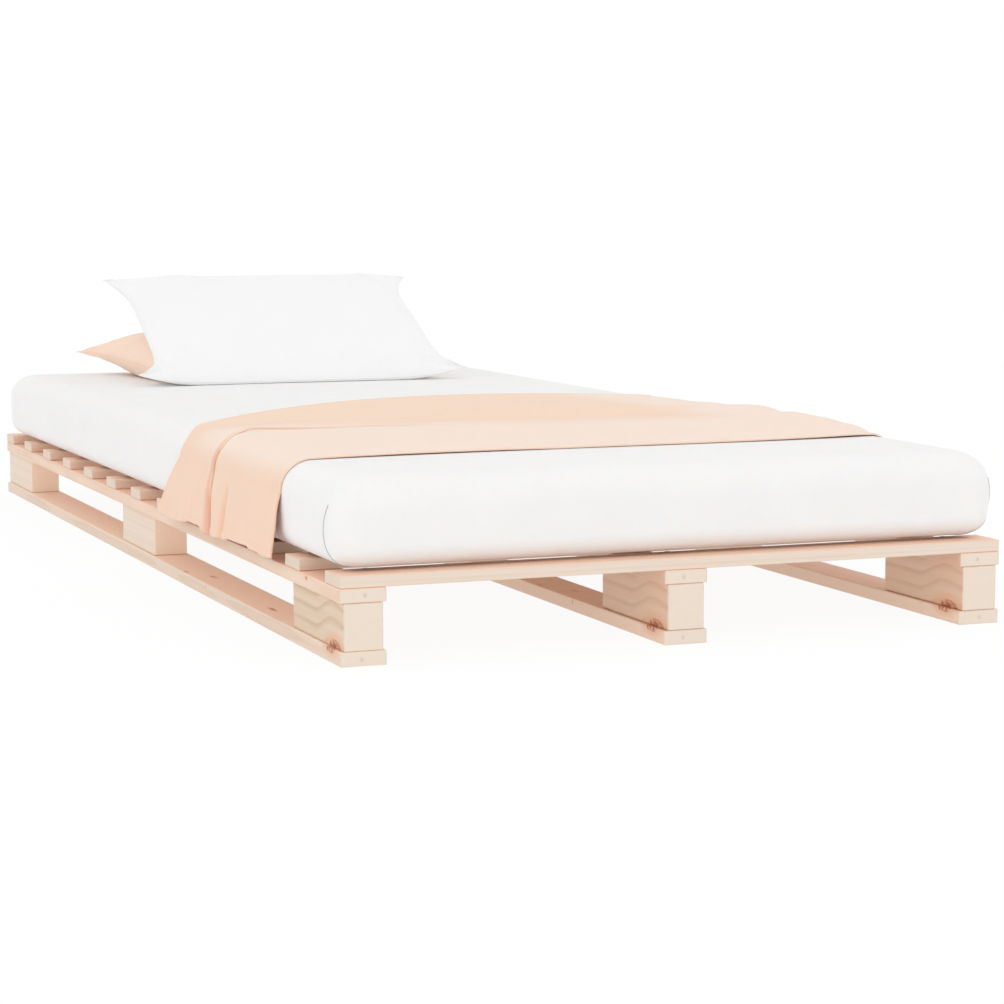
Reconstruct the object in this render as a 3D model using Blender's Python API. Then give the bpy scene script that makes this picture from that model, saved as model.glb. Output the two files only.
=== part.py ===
"""A low bed frame made like a pallet, with its mattress, throw and two pillows.

Metres, +Z up. The origin is on the floor under the middle of the frame. The foot
end faces -Y, the pillows lie at +Y, and X runs across the bed.
"""

import math

import bmesh
import bpy

# Clearances
JOINT_GAP = 0.0003  # between two pieces that touch
OVERRUN = 0.002  # how far a cutter passes the face that it cuts

# Timber
FRAME_WIDTH = 0.900
FRAME_LENGTH = 2.000
RUNNER_WIDTH = 0.058  # rails and base boards
BASE_THICKNESS = 0.018
BLOCK_HEIGHT = 0.0574
BLOCK_LENGTH = 0.200
BLOCK_INSET = 0.0043  # how far a block stands back from its runner's long faces
RAIL_THICKNESS = 0.0175
SLAT_WIDTH = 0.058
SLAT_THICKNESS = 0.015
SLAT_COUNT = 13
WOOD_CHAMFER = 0.001

# Countersunk screws, driven up through base board and block into the rail
SCREW_BITE = 0.011  # how deep a screw goes into the rail
SCREW_DIAMETER = 0.006
SCREW_HEAD = 0.012
SCREW_SPACING = 0.100  # between the two screws of a block
SCREW_SIDES = 8
TIP_SHARE = 0.3  # radius of a screw's blunt tip, as a share of its shank's

# Mattress in its fitted sheet
MATTRESS_SIDE_MARGIN = 0.0  # from the frame's long side to the mattress's
MATTRESS_END_MARGIN = 0.011
MATTRESS_THICKNESS = 0.1135
MATTRESS_TOP_RADIUS = 0.040
MATTRESS_BOTTOM_RADIUS = 0.024
MATTRESS_CORNER_RADIUS = 0.030
CORNER_EASE_SHARE = 0.5  # of that radius, lost where the top or bottom turns in
MATTRESS_CROWN = 0.004  # how much the top swells in the middle
MATTRESS_PULL = 0.004  # how far each side draws in between its corners
TOP_RING_SHARES = (0.82, 0.6, 0.35, 0.12)
BOTTOM_ARC_STEPS = 4
TOP_ARC_STEPS = 6
CORNER_STEPS = 5
LONG_SIDE_STEPS = 12
SHORT_SIDE_STEPS = 6

# Throw, laid across the foot third and hanging down both long sides
THROW_THICKNESS = 0.004
THROW_REST = 0.0006  # clearance to the sheet below it
THROW_FROM_FOOT = 0.229  # near edge to the mattress's foot end
NEAR_TURN = 0.035  # how far that edge turns back where it meets the right side
THROW_WIDTH = 0.472  # along the bed, at the mattress's left edge
THROW_SKEW = 0.280  # how much wider it lies at the right
THROW_BOW = 0.233  # how far its far edge bows towards the pillows
THROW_SLANT_LEFT = 0.115  # how much wider its hem hangs at either side
THROW_SLANT_RIGHT = 0.060
THROW_DROP = 0.010  # how far its hem hangs below the slats' top
THROW_FLARE = 0.014  # how far its hem stands off the slat ends
FLARE_POWER = 0.75
THROW_PUFF_LEFT = 0.004  # loft over the mattress at either side
THROW_PUFF_RIGHT = 0.015
# Shares of that loft: 0 is the near edge, 1 the crease and 2 the far edge
LOFT_SHARES = (
    (0.0, 0.0),
    (0.3, 0.62),
    (0.6, 0.85),
    (0.85, 0.92),
    (1.0, 0.6),
    (1.15, 1.0),
    (1.4, 0.55),
    (1.7, 0.25),
    (2.0, 0.1),
)
CREASE_FROM_EDGE = 0.325  # near edge to the long crease, on the sides
CREASE_BOW = 0.055  # how far the crease bows towards the pillows on top
CREASE_SKEW = 0.040  # how much nearer to the foot it lies at the right
SECOND_FOLD_FROM_EDGE = 0.245  # near edge to the short fold on the side
FOLD_WIDTH = 0.016
CREASE_DEPTH_SHARE = 0.55  # of the flare
SECOND_FOLD_DEPTH_SHARE = 0.5
RIDGE_HEIGHT = 0.009  # of the fold that stands up beside the crease at the left
RIDGE_FROM_CREASE = 0.026
NEAR_ROW_SHARES = (0.0, 0.12, 0.28, 0.44, 0.57, 0.65, 0.7, 0.75, 0.8, 0.85, 0.89, 0.93, 0.965, 1.0)
FAR_ROW_SHARES = (0.0, 0.07, 0.16, 0.3, 0.5, 0.72, 0.88, 1.0)
THROW_TOP_STEPS = 10
THROW_ARC_STEPS = 4
THROW_SIDE_STEPS = 4

# Pillows: one lies flat at the head, the other leans on it
PILLOW_WIDTH = 0.600
PILLOW_LENGTH = 0.385
PILLOW_DRAW = 0.040  # how far a short side draws in between its tips
PILLOW_LONG_DRAW = 0.014
PILLOW_GAP = 0.002  # between the two pillows
FILL_POWER = 2.4  # how gently a pillow fills out from its long seams
PILLOW_ACROSS_STEPS = 20
PILLOW_UP_STEPS = 14
FRONT_PILLOW_X = -0.016  # middle of its lower edge
FRONT_PILLOW_SHIFT = 0.012  # how far to the right of that its upper edge lies
FRONT_PILLOW_FROM_HEAD = 0.127  # upper tips to the mattress's head end
FRONT_PILLOW_TILT_DEG = 23.0
FRONT_PILLOW_TIP_RISE = 0.0245  # lower tips above the mattress
FRONT_PILLOW_SAG = 0.018  # its lower seam sags between the tips
FRONT_PILLOW_CROWN = 0.039
FRONT_PILLOW_BELLY = 0.036
REAR_PILLOW_X = -0.026
REAR_PILLOW_FROM_HEAD = 0.037
REAR_PILLOW_SEAM_RISE = 0.016  # its near seam above the mattress
REAR_PILLOW_TIP_RISE = 0.040  # its far seam above the mattress
REAR_PILLOW_CROWN = 0.052
REAR_PILLOW_BELLY = 0.050

# Places worked out from the sizes above
MATTRESS_WIDTH = FRAME_WIDTH - 2 * MATTRESS_SIDE_MARGIN
MATTRESS_LENGTH = FRAME_LENGTH - 2 * MATTRESS_END_MARGIN
BLOCK_BOTTOM = BASE_THICKNESS + JOINT_GAP
RAIL_BOTTOM = BLOCK_BOTTOM + BLOCK_HEIGHT + JOINT_GAP
SCREW_TIP = RAIL_BOTTOM + SCREW_BITE
SLAT_BOTTOM = RAIL_BOTTOM + RAIL_THICKNESS + JOINT_GAP
SLAT_TOP = SLAT_BOTTOM + SLAT_THICKNESS
MATTRESS_BOTTOM = SLAT_TOP + JOINT_GAP
MATTRESS_TOP = MATTRESS_BOTTOM + MATTRESS_THICKNESS
RUNNER_X = (FRAME_WIDTH - RUNNER_WIDTH) / 2
BLOCK_Y = (FRAME_LENGTH - BLOCK_LENGTH) / 2
SLAT_Y = (FRAME_LENGTH - SLAT_WIDTH) / 2
RUNNERS = {"left": -RUNNER_X, "centre": 0.0, "right": RUNNER_X}
BLOCK_ROWS = {"foot": -BLOCK_Y, "mid": 0.0, "head": BLOCK_Y}
SLAT_CENTRES = [-SLAT_Y + 2 * SLAT_Y * k / (SLAT_COUNT - 1) for k in range(SLAT_COUNT)]


def clear_scene():
    for obj in list(bpy.data.objects):
        bpy.data.objects.remove(obj, do_unlink=True)


def material(name, colour, roughness, metallic=0.0):
    made = bpy.data.materials.new(name)
    made.use_nodes = True
    shader = made.node_tree.nodes["Principled BSDF"]
    shader.inputs["Base Color"].default_value = (*colour, 1.0)
    shader.inputs["Roughness"].default_value = roughness
    shader.inputs["Metallic"].default_value = metallic
    made.diffuse_color = (*colour, 1.0)
    return made


def add_object(name, mesh, finish, location=(0.0, 0.0, 0.0), smooth=False):
    if finish and not mesh.materials:
        mesh.materials.append(finish)
    if smooth:
        mesh.shade_smooth()
    obj = bpy.data.objects.new(name, mesh)
    obj.location = location
    bpy.context.scene.collection.objects.link(obj)
    return obj


def mesh_from(bm, name):
    """Turns a bmesh into a mesh whose faces all point out."""
    bmesh.ops.recalc_face_normals(bm, faces=bm.faces[:])
    if bm.calc_volume(signed=True) < 0:
        bmesh.ops.reverse_faces(bm, faces=bm.faces[:])
    mesh = bpy.data.meshes.new(name)
    bm.to_mesh(mesh)
    bm.free()
    return mesh


# Screws and the holes they sit in


def lathe(bm, profile, x, y):
    """Adds a closed turned body at (x, y) from its (radius, height) profile."""
    rings = []
    for radius, height in profile:
        ring = []
        for side in range(SCREW_SIDES):
            angle = 2 * math.pi * side / SCREW_SIDES
            place = (x + radius * math.cos(angle), y + radius * math.sin(angle), height)
            ring.append(bm.verts.new(place))
        rings.append(ring)
    for low, high in zip(rings, rings[1:]):
        for side in range(SCREW_SIDES):
            after = (side + 1) % SCREW_SIDES
            bm.faces.new((low[side], low[after], high[after], high[side]))
    bm.faces.new(rings[0])
    bm.faces.new(rings[-1])


def screw_profile():
    """A countersunk screw, head down, whose head sits just inside the base board."""
    shank = SCREW_DIAMETER / 2
    neck = (SCREW_HEAD - SCREW_DIAMETER) / 2
    return [
        (SCREW_HEAD / 2, JOINT_GAP),
        (shank, JOINT_GAP + neck),
        (shank, SCREW_TIP - SCREW_DIAMETER),
        (shank * TIP_SHARE, SCREW_TIP),
    ]


def hole_profile():
    """The same outline grown by the clearance and run out below the base board."""
    shank = SCREW_DIAMETER / 2 + JOINT_GAP
    neck = (SCREW_HEAD - SCREW_DIAMETER) / 2
    return [
        (SCREW_HEAD / 2 + JOINT_GAP, -OVERRUN),
        (SCREW_HEAD / 2 + JOINT_GAP, JOINT_GAP),
        (shank, JOINT_GAP + neck),
        (shank, SCREW_TIP + JOINT_GAP),
    ]


def make_screws(steel):
    """Makes every screw, and the hidden cutter that clears their holes."""
    bm = bmesh.new()
    lathe(bm, screw_profile(), 0.0, 0.0)
    screw = mesh_from(bm, "screw")
    holes = bmesh.new()
    for side, x in RUNNERS.items():
        for row, y in BLOCK_ROWS.items():
            for number, offset in enumerate((-SCREW_SPACING / 2, SCREW_SPACING / 2), 1):
                name = f"screw_{side}_{row}_{number}"
                add_object(name, screw, steel, (x, y + offset, 0.0))
                lathe(holes, hole_profile(), x, y + offset)
    cutter = add_object("screw_holes", mesh_from(holes, "screw_holes"), None)
    cutter.hide_render = True
    cutter.display_type = "WIRE"
    return cutter


# Timber


def board_mesh(name, size_x, size_y, size_z):
    bm = bmesh.new()
    bmesh.ops.create_cube(bm, size=1.0)
    bmesh.ops.scale(bm, vec=(size_x, size_y, size_z), verts=bm.verts)
    return mesh_from(bm, name)


def add_board(name, mesh, centre, pine, cutter=None):
    """Places a board, eases its edges and drills it for its screws."""
    board = add_object(name, mesh, pine, centre)
    bevel = board.modifiers.new("eased_edges", "BEVEL")
    bevel.width = WOOD_CHAMFER
    bevel.segments = 1
    bevel.limit_method = "NONE"
    if cutter:
        drill = board.modifiers.new("screw_holes", "BOOLEAN")
        drill.operation = "DIFFERENCE"
        drill.solver = "EXACT"
        drill.object = cutter


def make_frame(pine, steel):
    holes = make_screws(steel)
    base = board_mesh("base_board", RUNNER_WIDTH, FRAME_LENGTH, BASE_THICKNESS)
    rail = board_mesh("rail", RUNNER_WIDTH, FRAME_LENGTH, RAIL_THICKNESS)
    block_width = RUNNER_WIDTH - 2 * BLOCK_INSET
    block = board_mesh("block", block_width, BLOCK_LENGTH, BLOCK_HEIGHT)
    slat = board_mesh("slat", FRAME_WIDTH, SLAT_WIDTH, SLAT_THICKNESS)
    for side, x in RUNNERS.items():
        add_board("base_board_" + side, base, (x, 0.0, BASE_THICKNESS / 2), pine, holes)
        rail_middle = RAIL_BOTTOM + RAIL_THICKNESS / 2
        add_board("rail_" + side, rail, (x, 0.0, rail_middle), pine, holes)
        for row, y in BLOCK_ROWS.items():
            middle = (x, y, BLOCK_BOTTOM + BLOCK_HEIGHT / 2)
            add_board(f"block_{side}_{row}", block, middle, pine, holes)
    for number, y in enumerate(SLAT_CENTRES, 1):
        middle = (0.0, y, SLAT_BOTTOM + SLAT_THICKNESS / 2)
        add_board(f"slat_{number:02d}", slat, middle, pine)


# Mattress


def arc(centre_inset, centre_z, radius, start_deg, end_deg, steps):
    """(inset, height) points of an arc in the mattress's side profile."""
    points = []
    for step in range(steps + 1):
        angle = math.radians(start_deg + (end_deg - start_deg) * step / steps)
        inset = centre_inset - radius * math.cos(angle)
        points.append((inset, centre_z + radius * math.sin(angle)))
    return points


def rounded_rectangle(half_x, half_y, radius):
    """Points round a rectangle with arcs at its corners, anticlockwise."""
    straight_x, straight_y = half_x - radius, half_y - radius
    sides = (
        (1, 1, 0.0, SHORT_SIDE_STEPS),
        (-1, 1, 90.0, LONG_SIDE_STEPS),
        (-1, -1, 180.0, SHORT_SIDE_STEPS),
        (1, -1, 270.0, LONG_SIDE_STEPS),
    )
    points = []
    for corner, (side_x, side_y, start, steps_after) in enumerate(sides):
        for step in range(CORNER_STEPS + 1):
            angle = math.radians(start + 90.0 * step / CORNER_STEPS)
            x = side_x * straight_x + radius * math.cos(angle)
            points.append((x, side_y * straight_y + radius * math.sin(angle)))
        next_x, next_y, next_start, _ = sides[(corner + 1) % len(sides)]
        turn = math.radians(next_start)
        end_x = next_x * straight_x + radius * math.cos(turn)
        end_y = next_y * straight_y + radius * math.sin(turn)
        last_x, last_y = points[-1]
        for step in range(1, steps_after):
            share = step / steps_after
            x = last_x + (end_x - last_x) * share
            points.append((x, last_y + (end_y - last_y) * share))
    return points


def crown(x, y):
    """How far the mattress's top swells above its edges at (x, y)."""
    across = 1 - (2 * x / MATTRESS_WIDTH) ** 2
    along = 1 - (2 * y / MATTRESS_LENGTH) ** 2
    return MATTRESS_CROWN * max(across, 0.0) * max(along, 0.0)


def mattress_point(x, y, z):
    """Draws the sides in between the corners and swells the top."""
    share = (z - MATTRESS_BOTTOM) / MATTRESS_THICKNESS
    pull_x = MATTRESS_PULL * (1 - (2 * y / MATTRESS_LENGTH) ** 2)
    pull_y = MATTRESS_PULL * (1 - (2 * x / MATTRESS_WIDTH) ** 2)
    pulled_x = x * (1 - 2 * pull_x / MATTRESS_WIDTH)
    pulled_y = y * (1 - 2 * pull_y / MATTRESS_LENGTH)
    return pulled_x, pulled_y, z + crown(x, y) * share**2


def make_mattress(sheet):
    low = MATTRESS_BOTTOM + MATTRESS_BOTTOM_RADIUS
    high = MATTRESS_TOP - MATTRESS_TOP_RADIUS
    radius = MATTRESS_BOTTOM_RADIUS
    profile = arc(radius, low, radius, -90.0, 0.0, BOTTOM_ARC_STEPS)
    radius = MATTRESS_TOP_RADIUS
    profile += arc(radius, high, radius, 0.0, 90.0, TOP_ARC_STEPS)
    outlines = []
    for inset, z in profile:
        half_x, half_y = MATTRESS_WIDTH / 2 - inset, MATTRESS_LENGTH / 2 - inset
        ease = CORNER_EASE_SHARE * inset / MATTRESS_TOP_RADIUS
        outline = rounded_rectangle(half_x, half_y, MATTRESS_CORNER_RADIUS * (1 - ease))
        outlines.append([(x, y, z) for x, y in outline])
    edge = outlines[-1]
    for share in TOP_RING_SHARES:
        outlines.append([(x * share, y * share, z) for x, y, z in edge])
    bm = bmesh.new()
    rings = [[bm.verts.new(mattress_point(*point)) for point in outline] for outline in outlines]
    count = len(rings[0])
    for lower, upper in zip(rings, rings[1:]):
        for k in range(count):
            after = (k + 1) % count
            bm.faces.new((lower[k], lower[after], upper[after], upper[k]))
    bm.faces.new(rings[0])
    bm.faces.new(rings[-1])
    add_object("mattress", mesh_from(bm, "mattress"), sheet, smooth=True)


# Throw


def closed_sheet(bm, inner, outer):
    """Closes two matching grids of points into one thin body."""
    inside = [[bm.verts.new(point) for point in row] for row in inner]
    outside = [[bm.verts.new(point) for point in row] for row in outer]
    rows, columns = len(inner), len(inner[0])
    for r in range(rows - 1):
        for c in range(columns - 1):
            for grid in (inside, outside):
                corners = (grid[r][c], grid[r][c + 1], grid[r + 1][c + 1], grid[r + 1][c])
                bm.faces.new(corners)
    border = [(0, c) for c in range(columns)]
    border += [(r, columns - 1) for r in range(1, rows)]
    border += [(rows - 1, c) for c in range(columns - 2, -1, -1)]
    border += [(r, 0) for r in range(rows - 2, 0, -1)]
    for k, (r, c) in enumerate(border):
        next_r, next_c = border[(k + 1) % len(border)]
        edge = (inside[r][c], inside[next_r][next_c], outside[next_r][next_c], outside[r][c])
        bm.faces.new(edge)


def throw_lengths():
    """Half the flat top, the bend and the drop that the throw follows at each side."""
    flat = MATTRESS_WIDTH / 2 - MATTRESS_TOP_RADIUS
    bend = MATTRESS_TOP_RADIUS * math.pi / 2
    hem = SLAT_TOP - THROW_DROP
    return flat, bend, MATTRESS_TOP - MATTRESS_TOP_RADIUS - hem


def throw_columns():
    """Signed distances across the throw, from the middle of the mattress's top."""
    flat, bend, drop = throw_lengths()
    half = [flat * 2 * k / THROW_TOP_STEPS for k in range(1, THROW_TOP_STEPS // 2 + 1)]
    half += [flat + bend * k / THROW_ARC_STEPS for k in range(1, THROW_ARC_STEPS + 1)]
    half += [flat + bend + drop * k / THROW_SIDE_STEPS for k in range(1, THROW_SIDE_STEPS + 1)]
    return [-distance for distance in reversed(half)] + [0.0] + half


def mattress_section(distance):
    """Point, outward normal and share down the side, for a signed distance across."""
    flat, bend, drop = throw_lengths()
    side = math.copysign(1, distance)
    beyond = abs(distance) - flat
    if beyond <= 0:
        return (distance, MATTRESS_TOP), (0.0, 1.0), 0.0
    angle = min(beyond / MATTRESS_TOP_RADIUS, math.pi / 2)
    down = max(beyond - bend, 0.0)
    x = side * (flat + MATTRESS_TOP_RADIUS * math.sin(angle))
    z = MATTRESS_TOP - MATTRESS_TOP_RADIUS * (1 - math.cos(angle)) - down
    return (x, z), (side * math.sin(angle), math.cos(angle)), down / drop


def throw_crease_y(x_share):
    """Where the long crease lies along the bed."""
    side = THROW_FROM_FOOT - MATTRESS_LENGTH / 2 + CREASE_FROM_EDGE
    return side + CREASE_BOW * (1 - x_share**2) - CREASE_SKEW * (x_share + 1) / 2


def throw_row_y(x_share, down, zone, share):
    """Where a row lies along the bed; x_share runs from -1 at the left to 1."""
    middle = 1 - x_share**2
    near = THROW_FROM_FOOT - MATTRESS_LENGTH / 2
    crease = throw_crease_y(x_share)
    if zone == "near":
        edge = near + NEAR_TURN * max(x_share, 0.0) ** 4
        return edge + (crease - edge) * share
    far = near + THROW_WIDTH + THROW_SKEW * (x_share + 1) / 2 + THROW_BOW * middle
    far += down * (THROW_SLANT_LEFT if x_share < 0 else THROW_SLANT_RIGHT)
    return crease + (far - crease) * share


def loft_share(along):
    """The loft at a place from 0 to 2 along the throw, eased between its entries."""
    for (start, low), (end, high) in zip(LOFT_SHARES, LOFT_SHARES[1:]):
        if along <= end:
            part = (along - start) / (end - start)
            return low + (high - low) * (1 - math.cos(math.pi * part)) / 2
    return LOFT_SHARES[-1][1]


def throw_lift(x_share, down, zone, share, y):
    """How far the throw's underside stands off the mattress."""
    puff = THROW_PUFF_LEFT + (THROW_PUFF_RIGHT - THROW_PUFF_LEFT) * (x_share + 1) / 2
    loft = puff * loft_share(share + (zone == "far"))
    from_crease = y - throw_crease_y(x_share)
    from_second = y - THROW_FROM_FOOT + MATTRESS_LENGTH / 2 - SECOND_FOLD_FROM_EDGE
    crease = math.exp(-((from_crease / FOLD_WIDTH) ** 2))
    second = math.exp(-((from_second / FOLD_WIDTH) ** 2))
    ridge = math.exp(-(((from_crease + RIDGE_FROM_CREASE) / FOLD_WIDTH) ** 2))
    loft += RIDGE_HEIGHT * ridge * (1 - x_share) / 2
    folded = 1 - CREASE_DEPTH_SHARE * crease - SECOND_FOLD_DEPTH_SHARE * second * down
    reach = MATTRESS_SIDE_MARGIN + THROW_FLARE * folded
    return THROW_REST + loft * (1 - down / 2) + reach * down**FLARE_POWER


def make_throw(cloth):
    columns = throw_columns()
    rows = [("near", share) for share in NEAR_ROW_SHARES]
    rows += [("far", share) for share in FAR_ROW_SHARES[1:]]
    inner, outer = [], []
    for zone, share in rows:
        inner_row, outer_row = [], []
        for distance in columns:
            (x, z), (normal_x, normal_z), down = mattress_section(distance)
            x_share = max(-1.0, min(1.0, 2 * x / MATTRESS_WIDTH))
            y = throw_row_y(x_share, down, zone, share)
            lift = throw_lift(x_share, down, zone, share, y)
            swell = crown(x, y) * normal_z
            for row, off in ((inner_row, lift), (outer_row, lift + THROW_THICKNESS)):
                row.append((x + normal_x * off, y, z + swell + normal_z * off))
        inner.append(inner_row)
        outer.append(outer_row)
    bm = bmesh.new()
    closed_sheet(bm, inner, outer)
    add_object("throw_blanket", mesh_from(bm, "throw_blanket"), cloth, smooth=True)


# Pillows


def pillow_size(across, up, length):
    """Half the width and length there, less where its sides draw in."""
    half_width = PILLOW_WIDTH / 2 - PILLOW_DRAW * (1 - up**6)
    return half_width, length / 2 - PILLOW_LONG_DRAW * (1 - across**6)


def pillow_place(across, up, place):
    """A pillow's (x, y) for shares from -1 to 1."""
    middle_x, shift, middle_y, length = place
    half_width, half_length = pillow_size(across, up, length)
    x = middle_x + shift * (1 + up) / 2 + across * half_width
    return x, middle_y + up * half_length


def pillow_shares(x, y, place):
    """The shares for a place, found by a few rounds of the same rule."""
    middle_x, shift, middle_y, length = place
    across = up = 0.0
    for _ in range(8):
        half_width, half_length = pillow_size(across, up, length)
        across = (x - middle_x - shift * (1 + up) / 2) / half_width
        across = max(-1.0, min(1.0, across))
        up = max(-1.0, min(1.0, (y - middle_y) / half_length))
    return across, up


def fill(across, up):
    """How full a pillow is there: 1 in the middle and 0 at its seam."""
    return math.sqrt(max((1 - across**4) * (1 - abs(up) ** FILL_POWER), 0.0))


def front_pillow_place():
    length = PILLOW_LENGTH * math.cos(math.radians(FRONT_PILLOW_TILT_DEG))
    middle_y = MATTRESS_LENGTH / 2 - FRONT_PILLOW_FROM_HEAD - length / 2
    return FRONT_PILLOW_X, FRONT_PILLOW_SHIFT, middle_y, length


def rear_pillow_place():
    middle_y = MATTRESS_LENGTH / 2 - REAR_PILLOW_FROM_HEAD - PILLOW_LENGTH / 2
    return REAR_PILLOW_X, 0.0, middle_y, PILLOW_LENGTH


def rest_height(x, y):
    return MATTRESS_TOP + crown(x, y) + JOINT_GAP


def front_pillow_heights(x, y):
    """Lower, seam and upper height of the leaning pillow at (x, y)."""
    place = front_pillow_place()
    _, _, middle_y, length = place
    across, up = pillow_shares(x, y, place)
    tilt = math.radians(FRONT_PILLOW_TILT_DEG)
    rise = (y - middle_y + length / 2) * math.tan(tilt)
    sag = FRONT_PILLOW_SAG * (1 - across**6) * ((1 - up) / 2) ** 2
    seam = MATTRESS_TOP + FRONT_PILLOW_TIP_RISE + rise - sag
    full = fill(across, up) / math.cos(tilt)
    near_seam = rear_pillow_place()[2] - PILLOW_LENGTH / 2
    ramp = max(0.0, min(1.0, 1 + (y - near_seam) / REAR_PILLOW_SEAM_RISE))
    floor = rest_height(x, y) + REAR_PILLOW_SEAM_RISE * ramp
    lower = max(seam - FRONT_PILLOW_BELLY * full, floor)
    return lower, max(seam, lower), seam + FRONT_PILLOW_CROWN * full


def rear_pillow_heights(x, y):
    """The flat pillow, pressed down wherever the leaning one lies on it."""
    across, up = pillow_shares(x, y, rear_pillow_place())
    rise = REAR_PILLOW_TIP_RISE - REAR_PILLOW_SEAM_RISE
    seam = MATTRESS_TOP + REAR_PILLOW_SEAM_RISE + rise * (1 + up) / 2
    _, _, front_y, length = front_pillow_place()
    limit = math.inf
    if y <= front_y + length / 2:
        limit = front_pillow_heights(x, y)[0] - PILLOW_GAP
    seam = min(seam, limit)
    full = fill(across, up)
    lower = max(seam - REAR_PILLOW_BELLY * full, rest_height(x, y))
    return lower, seam, min(seam + REAR_PILLOW_CROWN * full, limit)


def make_pillow(name, heights, place, finish):
    """Two grids of points that share the seam, closer together near it."""
    bm = bmesh.new()
    lower, upper = {}, {}
    for i in range(PILLOW_ACROSS_STEPS + 1):
        for j in range(PILLOW_UP_STEPS + 1):
            across = math.sin(math.pi / 2 * (2 * i / PILLOW_ACROSS_STEPS - 1))
            up = math.sin(math.pi / 2 * (2 * j / PILLOW_UP_STEPS - 1))
            x, y = pillow_place(across, up, place)
            low, seam, high = heights(x, y)
            if i in (0, PILLOW_ACROSS_STEPS) or j in (0, PILLOW_UP_STEPS):
                lower[i, j] = upper[i, j] = bm.verts.new((x, y, seam))
            else:
                lower[i, j] = bm.verts.new((x, y, low))
                upper[i, j] = bm.verts.new((x, y, high))
    for i in range(PILLOW_ACROSS_STEPS):
        for j in range(PILLOW_UP_STEPS):
            for grid in (lower, upper):
                corners = (grid[i, j], grid[i + 1, j], grid[i + 1, j + 1], grid[i, j + 1])
                bm.faces.new(corners)
    add_object(name, mesh_from(bm, name), finish, smooth=True)


def build():
    clear_scene()
    pine = material("pine", (0.80, 0.66, 0.52), 0.6)
    steel = material("steel", (0.62, 0.62, 0.60), 0.35, 1.0)
    white = material("white_cotton", (0.90, 0.90, 0.89), 0.85)
    peach = material("peach_cotton", (0.93, 0.70, 0.55), 0.85)
    make_frame(pine, steel)
    make_mattress(white)
    make_throw(peach)
    make_pillow("pillow_front", front_pillow_heights, front_pillow_place(), white)
    make_pillow("pillow_back", rear_pillow_heights, rear_pillow_place(), peach)


build()
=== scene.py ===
"""The pallet bed with its finishes: pine frame, mattress in a fitted sheet, throw and two pillows.

Metres, +Z up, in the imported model's frame: the origin is on the floor under the middle
of the bed, the foot end faces -Y, the pillows lie at +Y, and X runs across the bed.
Every piece stands where its solid stands. Sizes that the solids share are repeated here.
"""

import math
from collections import namedtuple

import bmesh
import bpy
import numpy as np
from mathutils.bvhtree import BVHTree
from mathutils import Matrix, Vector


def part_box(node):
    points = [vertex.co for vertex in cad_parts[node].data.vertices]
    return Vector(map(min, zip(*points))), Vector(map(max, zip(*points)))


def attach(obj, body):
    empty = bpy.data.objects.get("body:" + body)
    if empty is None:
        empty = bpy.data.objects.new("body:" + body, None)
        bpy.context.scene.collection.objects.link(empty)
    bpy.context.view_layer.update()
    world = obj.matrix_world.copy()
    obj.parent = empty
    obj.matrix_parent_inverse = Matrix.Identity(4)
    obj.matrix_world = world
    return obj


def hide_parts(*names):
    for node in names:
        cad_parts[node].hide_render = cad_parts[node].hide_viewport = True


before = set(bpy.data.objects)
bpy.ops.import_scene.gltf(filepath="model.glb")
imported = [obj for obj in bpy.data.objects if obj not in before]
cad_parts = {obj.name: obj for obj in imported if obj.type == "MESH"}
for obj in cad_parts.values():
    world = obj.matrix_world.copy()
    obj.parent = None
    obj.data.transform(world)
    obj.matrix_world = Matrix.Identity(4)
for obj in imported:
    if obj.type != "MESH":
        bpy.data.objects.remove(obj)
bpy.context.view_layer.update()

# Places read from the solids

MATTRESS_LOW, MATTRESS_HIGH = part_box("mattress")
SLAT_LOW, SLAT_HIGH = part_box("slat_01")
RUNNER_LOW, RUNNER_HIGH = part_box("rail_right")
BLOCK_LOW, BLOCK_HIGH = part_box("block_right_head")
SLAT_COUNT = 13

RUNNER_X = (RUNNER_LOW.x + RUNNER_HIGH.x) / 2
BLOCK_Y = (BLOCK_LOW.y + BLOCK_HIGH.y) / 2
SLAT_Y = -(SLAT_LOW.y + SLAT_HIGH.y) / 2
SLAT_PITCH = 2 * SLAT_Y / (SLAT_COUNT - 1)
SLAT_TOP = SLAT_HIGH.z

# Sizes of the mattress

HALF_WIDTH = SLAT_HIGH.x
HALF_LENGTH = (MATTRESS_HIGH.y - MATTRESS_LOW.y) / 2
MATTRESS_BOTTOM = MATTRESS_LOW.z
MATTRESS_THICKNESS = 0.1135
MATTRESS_TOP = MATTRESS_BOTTOM + MATTRESS_THICKNESS
TOP_RADIUS = 0.040
SIDE_TOP = MATTRESS_TOP - TOP_RADIUS
FLAT_HALF = HALF_WIDTH - TOP_RADIUS
CORNER_RADIUS = 0.030
CORNER_EASE_SHARE = 0.5
CROWN = 0.004
PULL = 0.004

# Helpers for meshes

SAME_PLACE = 0.00005


def linked(name, data):
    """A new object in the scene."""
    thing = bpy.data.objects.new(name, data)
    bpy.context.scene.collection.objects.link(thing)
    return thing


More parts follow.
